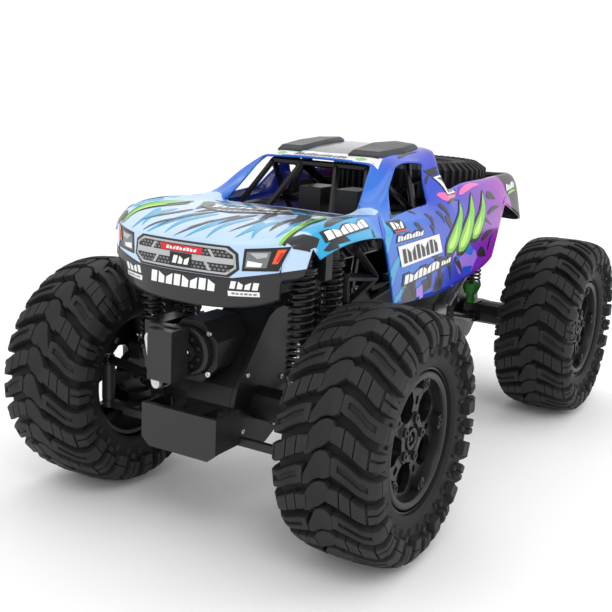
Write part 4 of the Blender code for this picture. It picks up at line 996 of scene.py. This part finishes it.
def hardware():
    """Screw heads, one piece for each body."""
    bodies = ("front_axle", "rear_axle", "chassis", "left_knuckle", "right_knuckle", "drag_bar", "tie_bar",
              "horn")
    heads = {body: [] for body in bodies}
    for body, (y, out, motor_x) in MOTORS.items():
        for dx, dz in ((-1, -1), (1, -1), (-1, 1), (1, 1)):
            place = (motor_x + dx * MOTOR_SCREWS, y + out * 35.2, COUNTER_Z + dz * MOTOR_SCREWS)
            heads[body].append(screw(place, "-y" if out < 0 else "y"))
        for wall, way in ((18.6, "x"), (-18.1, "-x")):
            for a, b in CASE_SCREWS:
                heads[body].append(screw((wall, y - out * a * 0.9, AXLE_Z + b), way, 1.7))
    for side, body in ((1, "left_knuckle"), (-1, "right_knuckle")):
        heads[body].append(screw((side * 80, -AXLE_Y, 104.9), "z", 3.4, 1.8))
        heads[body].append(screw((side * 80, -AXLE_Y, 50.1), "-z", 3.4, 1.8))
    heads["drag_bar"].append(screw((-85, -205, 96.0), "z", 1.8, 0.8))
    heads["drag_bar"].append(screw((-27, -223.4, 93.0), "-y", 2.6, 1.4))
    for side in (1, -1):
        heads["tie_bar"].append(screw((side * 85, -205, 60.4), "-z", 1.8, 0.8))
        for y in (-92, -30):
            heads["chassis"].append(screw((side * 38.0, y, 140.6), "x" if side > 0 else "-x", 1.6))
        for x, y, _ in SHOCKS.values():
            if x * side > 0:
                heads["chassis"].append(screw((x, y - 5.2, 180), "-y", 2.6, 1.4))
    heads["horn"].append(screw((-32, -226.9, 121), "-y", 2.4, 1.2))
    for body, shapes in heads.items():
        piece(f"{body}_screws", joined(shapes), STEEL, body, 35)


def motor_face():
    """The ring of bosses, the end bell and the shaft's end that show at each motor's outer end."""
    bell = [(15.3, -4), (15.3, 0.6), (14.2, 1.2), (12.4, 1.2), (11.8, 0.2), (6.2, 0.2), (5.8, 1.4),
            (3.2, 1.4),
            (3.0, -0.4), (3.0, -4)]
    shaft_end = [(0.1, 0.0), (1.6, 0.0), (1.6, 2.2), (1.2, 2.6), (0.1, 2.6)]
    for body, (y, out, x) in MOTORS.items():
        face = y + out * 39.0
        shapes = [turned([(r, out * a) for r, a in bell], (x, face, COUNTER_Z), "y", 64)]
        for i in range(MOTOR_BOSSES):
            middle = polar(9.0, 360 / MOTOR_BOSSES * (i + 0.5), (x, COUNTER_Z))
            reach = sorted((face + out * 0.2, face + out * 1.1))
            shapes.append(prism([polar(1.25, k * 45, middle) for k in range(8)], "y", *reach))
        piece(f"{body}_motor_bell", joined(shapes), SATIN, body, 30)
        shaft = turned([(r, out * a) for r, a in shaft_end], (x, face, COUNTER_Z), "y", 20)
        piece(f"{body}_motor_shaft", joined([shaft]), STEEL, body, 30)


SPARE_Y, SPARE_RADIUS = 66.0, 63.0
SPARE_LOW, SPARE_TOP = 191.5, 223.0
SPARE_RIBS, RIB_HALF = 56, 1.1


def spare_tyre():
    """The tyre that lies in the bed: a round carcass with upright ribs all round."""
    low, top, r = SPARE_LOW, SPARE_TOP, SPARE_RADIUS
    body = [(24.0, low + 4), (r - 9, low + 0.6), (r - 3.5, low + 5), (r - 2.4, (low + top) / 2),
            (r - 3.5, top - 5),
            (r - 9, top - 0.6), (36.0, top - 1.2), (34.0, top - 3.0), (24.0, top - 4)]
    shapes = [turned(body, (0, SPARE_Y, 0), "z", 112)]
    section = [(r - 16, low), (r - 8, low), (r, low + 5), (r, top - 5), (r - 8, top), (r - 16, top),
               (r - 16, top - 3),
               (r - 6, top - 8), (r - 6, low + 8), (r - 16, low + 3)]
    for i in range(SPARE_RIBS):
        angle = 2 * pi * i / SPARE_RIBS
        turn = Matrix.Translation((0, SPARE_Y, 0)) @ Matrix.Rotation(angle, 4, "Z")
        rib = prism(section, "y", -RIB_HALF, RIB_HALF)
        bmesh.ops.transform(rib, matrix=turn, verts=rib.verts)
        shapes.append(rib)
    made = piece("ribbed_spare_tyre", joined(shapes), RUBBER, "chassis", 30)
    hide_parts("spare_tyre")


BLACK_NODES = """chassis_frame battery_door front_shock_tower rear_shock_tower bed_tray tie_rod
    front_skid_plate front_axle_case_left front_axle_case_right rear_axle_case_left rear_axle_case_right
    steering_knuckle_left steering_knuckle_right""".split()
STEEL_NODES = """rear_strut_left rear_strut_right front_axle_shaft rear_axle_shaft
    front_motor_pinion rear_motor_pinion""".split()
SATIN_NODES = """roll_cage drag_link front_motor rear_motor steering_servo spare_rim front_left_lower_link
    front_right_lower_link rear_left_lower_link rear_right_lower_link""".split()
NODE_EDGE = 0.45


def dressed():
    """The CAD nodes that show: each gets its material and, where its edges are cut, a soft edge."""
    looks = {}
    for names, material in ((BLACK_NODES, BLACK), (STEEL_NODES, STEEL), (SATIN_NODES, SATIN)):
        looks |= dict.fromkeys(names, material)
    looks |= {"cockpit_tray": CHARCOAL, "servo_horn": WHITE_METAL, "power_switch": NYLON,
              "battery_pack": WRAP,
              "circuit_board": BOARD, "front_counter_gear": NYLON, "rear_counter_gear": NYLON}
    for name, (_, _, axle) in SHOCKS.items():
        looks[f"{name}_shock_cylinder"] = SATIN
        looks[f"{name}_shock_shaft"] = GREEN if axle == "rear_axle" else STEEL
    for name, material in looks.items():
        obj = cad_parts[name]
        for slot in obj.material_slots:
            slot.material = material
        bevelled(obj, NODE_EDGE, 2, 35)


# ---------------------------------------------------------------- camera, floor and light

TARGET = Vector((0.0, 0.0, 103.0))
AZIMUTH, ELEVATION, ROLL = radians(30.33), radians(12.85), radians(2.73)
DISTANCE = 770.42
LENS = 56.57
SHIFT_RIGHT, SHIFT_UP = -46.83, 4.35
LAMP_AIM = (0, 0, 0.1)
FLOOR_HALF = 60
SKY_STRENGTH = 1.06


def camera():
    back = Vector((sin(AZIMUTH) * cos(ELEVATION), -cos(AZIMUTH) * cos(ELEVATION), sin(ELEVATION)))
    level = Vector((cos(AZIMUTH), sin(AZIMUTH), 0.0))
    upright = back.cross(level)
    right = level * cos(ROLL) + upright * sin(ROLL)
    up = upright * cos(ROLL) - level * sin(ROLL)
    aim = TARGET + right * SHIFT_RIGHT + up * SHIFT_UP
    data = bpy.data.cameras.new("camera")
    data.lens, data.sensor_width = LENS, 36.0
    data.clip_start, data.clip_end = 0.01, 20.0
    made = bpy.data.objects.new("camera", data)
    turn = Matrix((right, up, back)).transposed().to_4x4()
    made.matrix_world = Matrix.Translation((aim + back * DISTANCE) * MM) @ turn
    bpy.context.scene.collection.objects.link(made)
    bpy.context.scene.camera = made


def lamp(name, place, size, power):
    data = bpy.data.lights.new(name, "AREA")
    data.shape, data.size, data.energy = "DISK", size, power
    made = bpy.data.objects.new(name, data)
    place = Vector(place)
    turn = (Vector(LAMP_AIM) - place).to_track_quat("-Z", "Y").to_matrix().to_4x4()
    made.matrix_world = Matrix.Translation(place) @ turn
    bpy.context.scene.collection.objects.link(made)


def studio():
    floor = bpy.data.meshes.new("floor")
    half = FLOOR_HALF
    floor.from_pydata([(-half, -half, 0), (half, -half, 0), (half, half, 0), (-half, half, 0)], [],
                      [(0, 1, 2, 3)])
    pale = Nodes("pale_floor")
    pale.set(Base_Color=(0.97, 0.97, 0.97, 1.0), Roughness=0.9)
    floor.materials.append(pale.material)
    made = bpy.data.objects.new("floor", floor)
    bpy.context.scene.collection.objects.link(made)
    world = bpy.data.worlds.new("pale_world")
    world.use_nodes = True
    sky = world.node_tree.nodes["Background"].inputs
    sky["Color"].default_value, sky["Strength"].default_value = (1.0, 1.0, 1.0, 1.0), SKY_STRENGTH
    bpy.context.scene.world = world
    lamp("key", (0.9, -1.3, 1.8), 0.9, 7)
    lamp("top", (-0.3, 0.3, 1.9), 1.2, 3)
    lamp("rim_light", (1.5, 0.9, 1.0), 0.8, 4)
    bpy.context.scene.view_settings.view_transform = "Standard"


camera()
studio()
tyres()
rims()
shell()
dressed()
springs()
hardware()
motor_face()
spare_tyre()
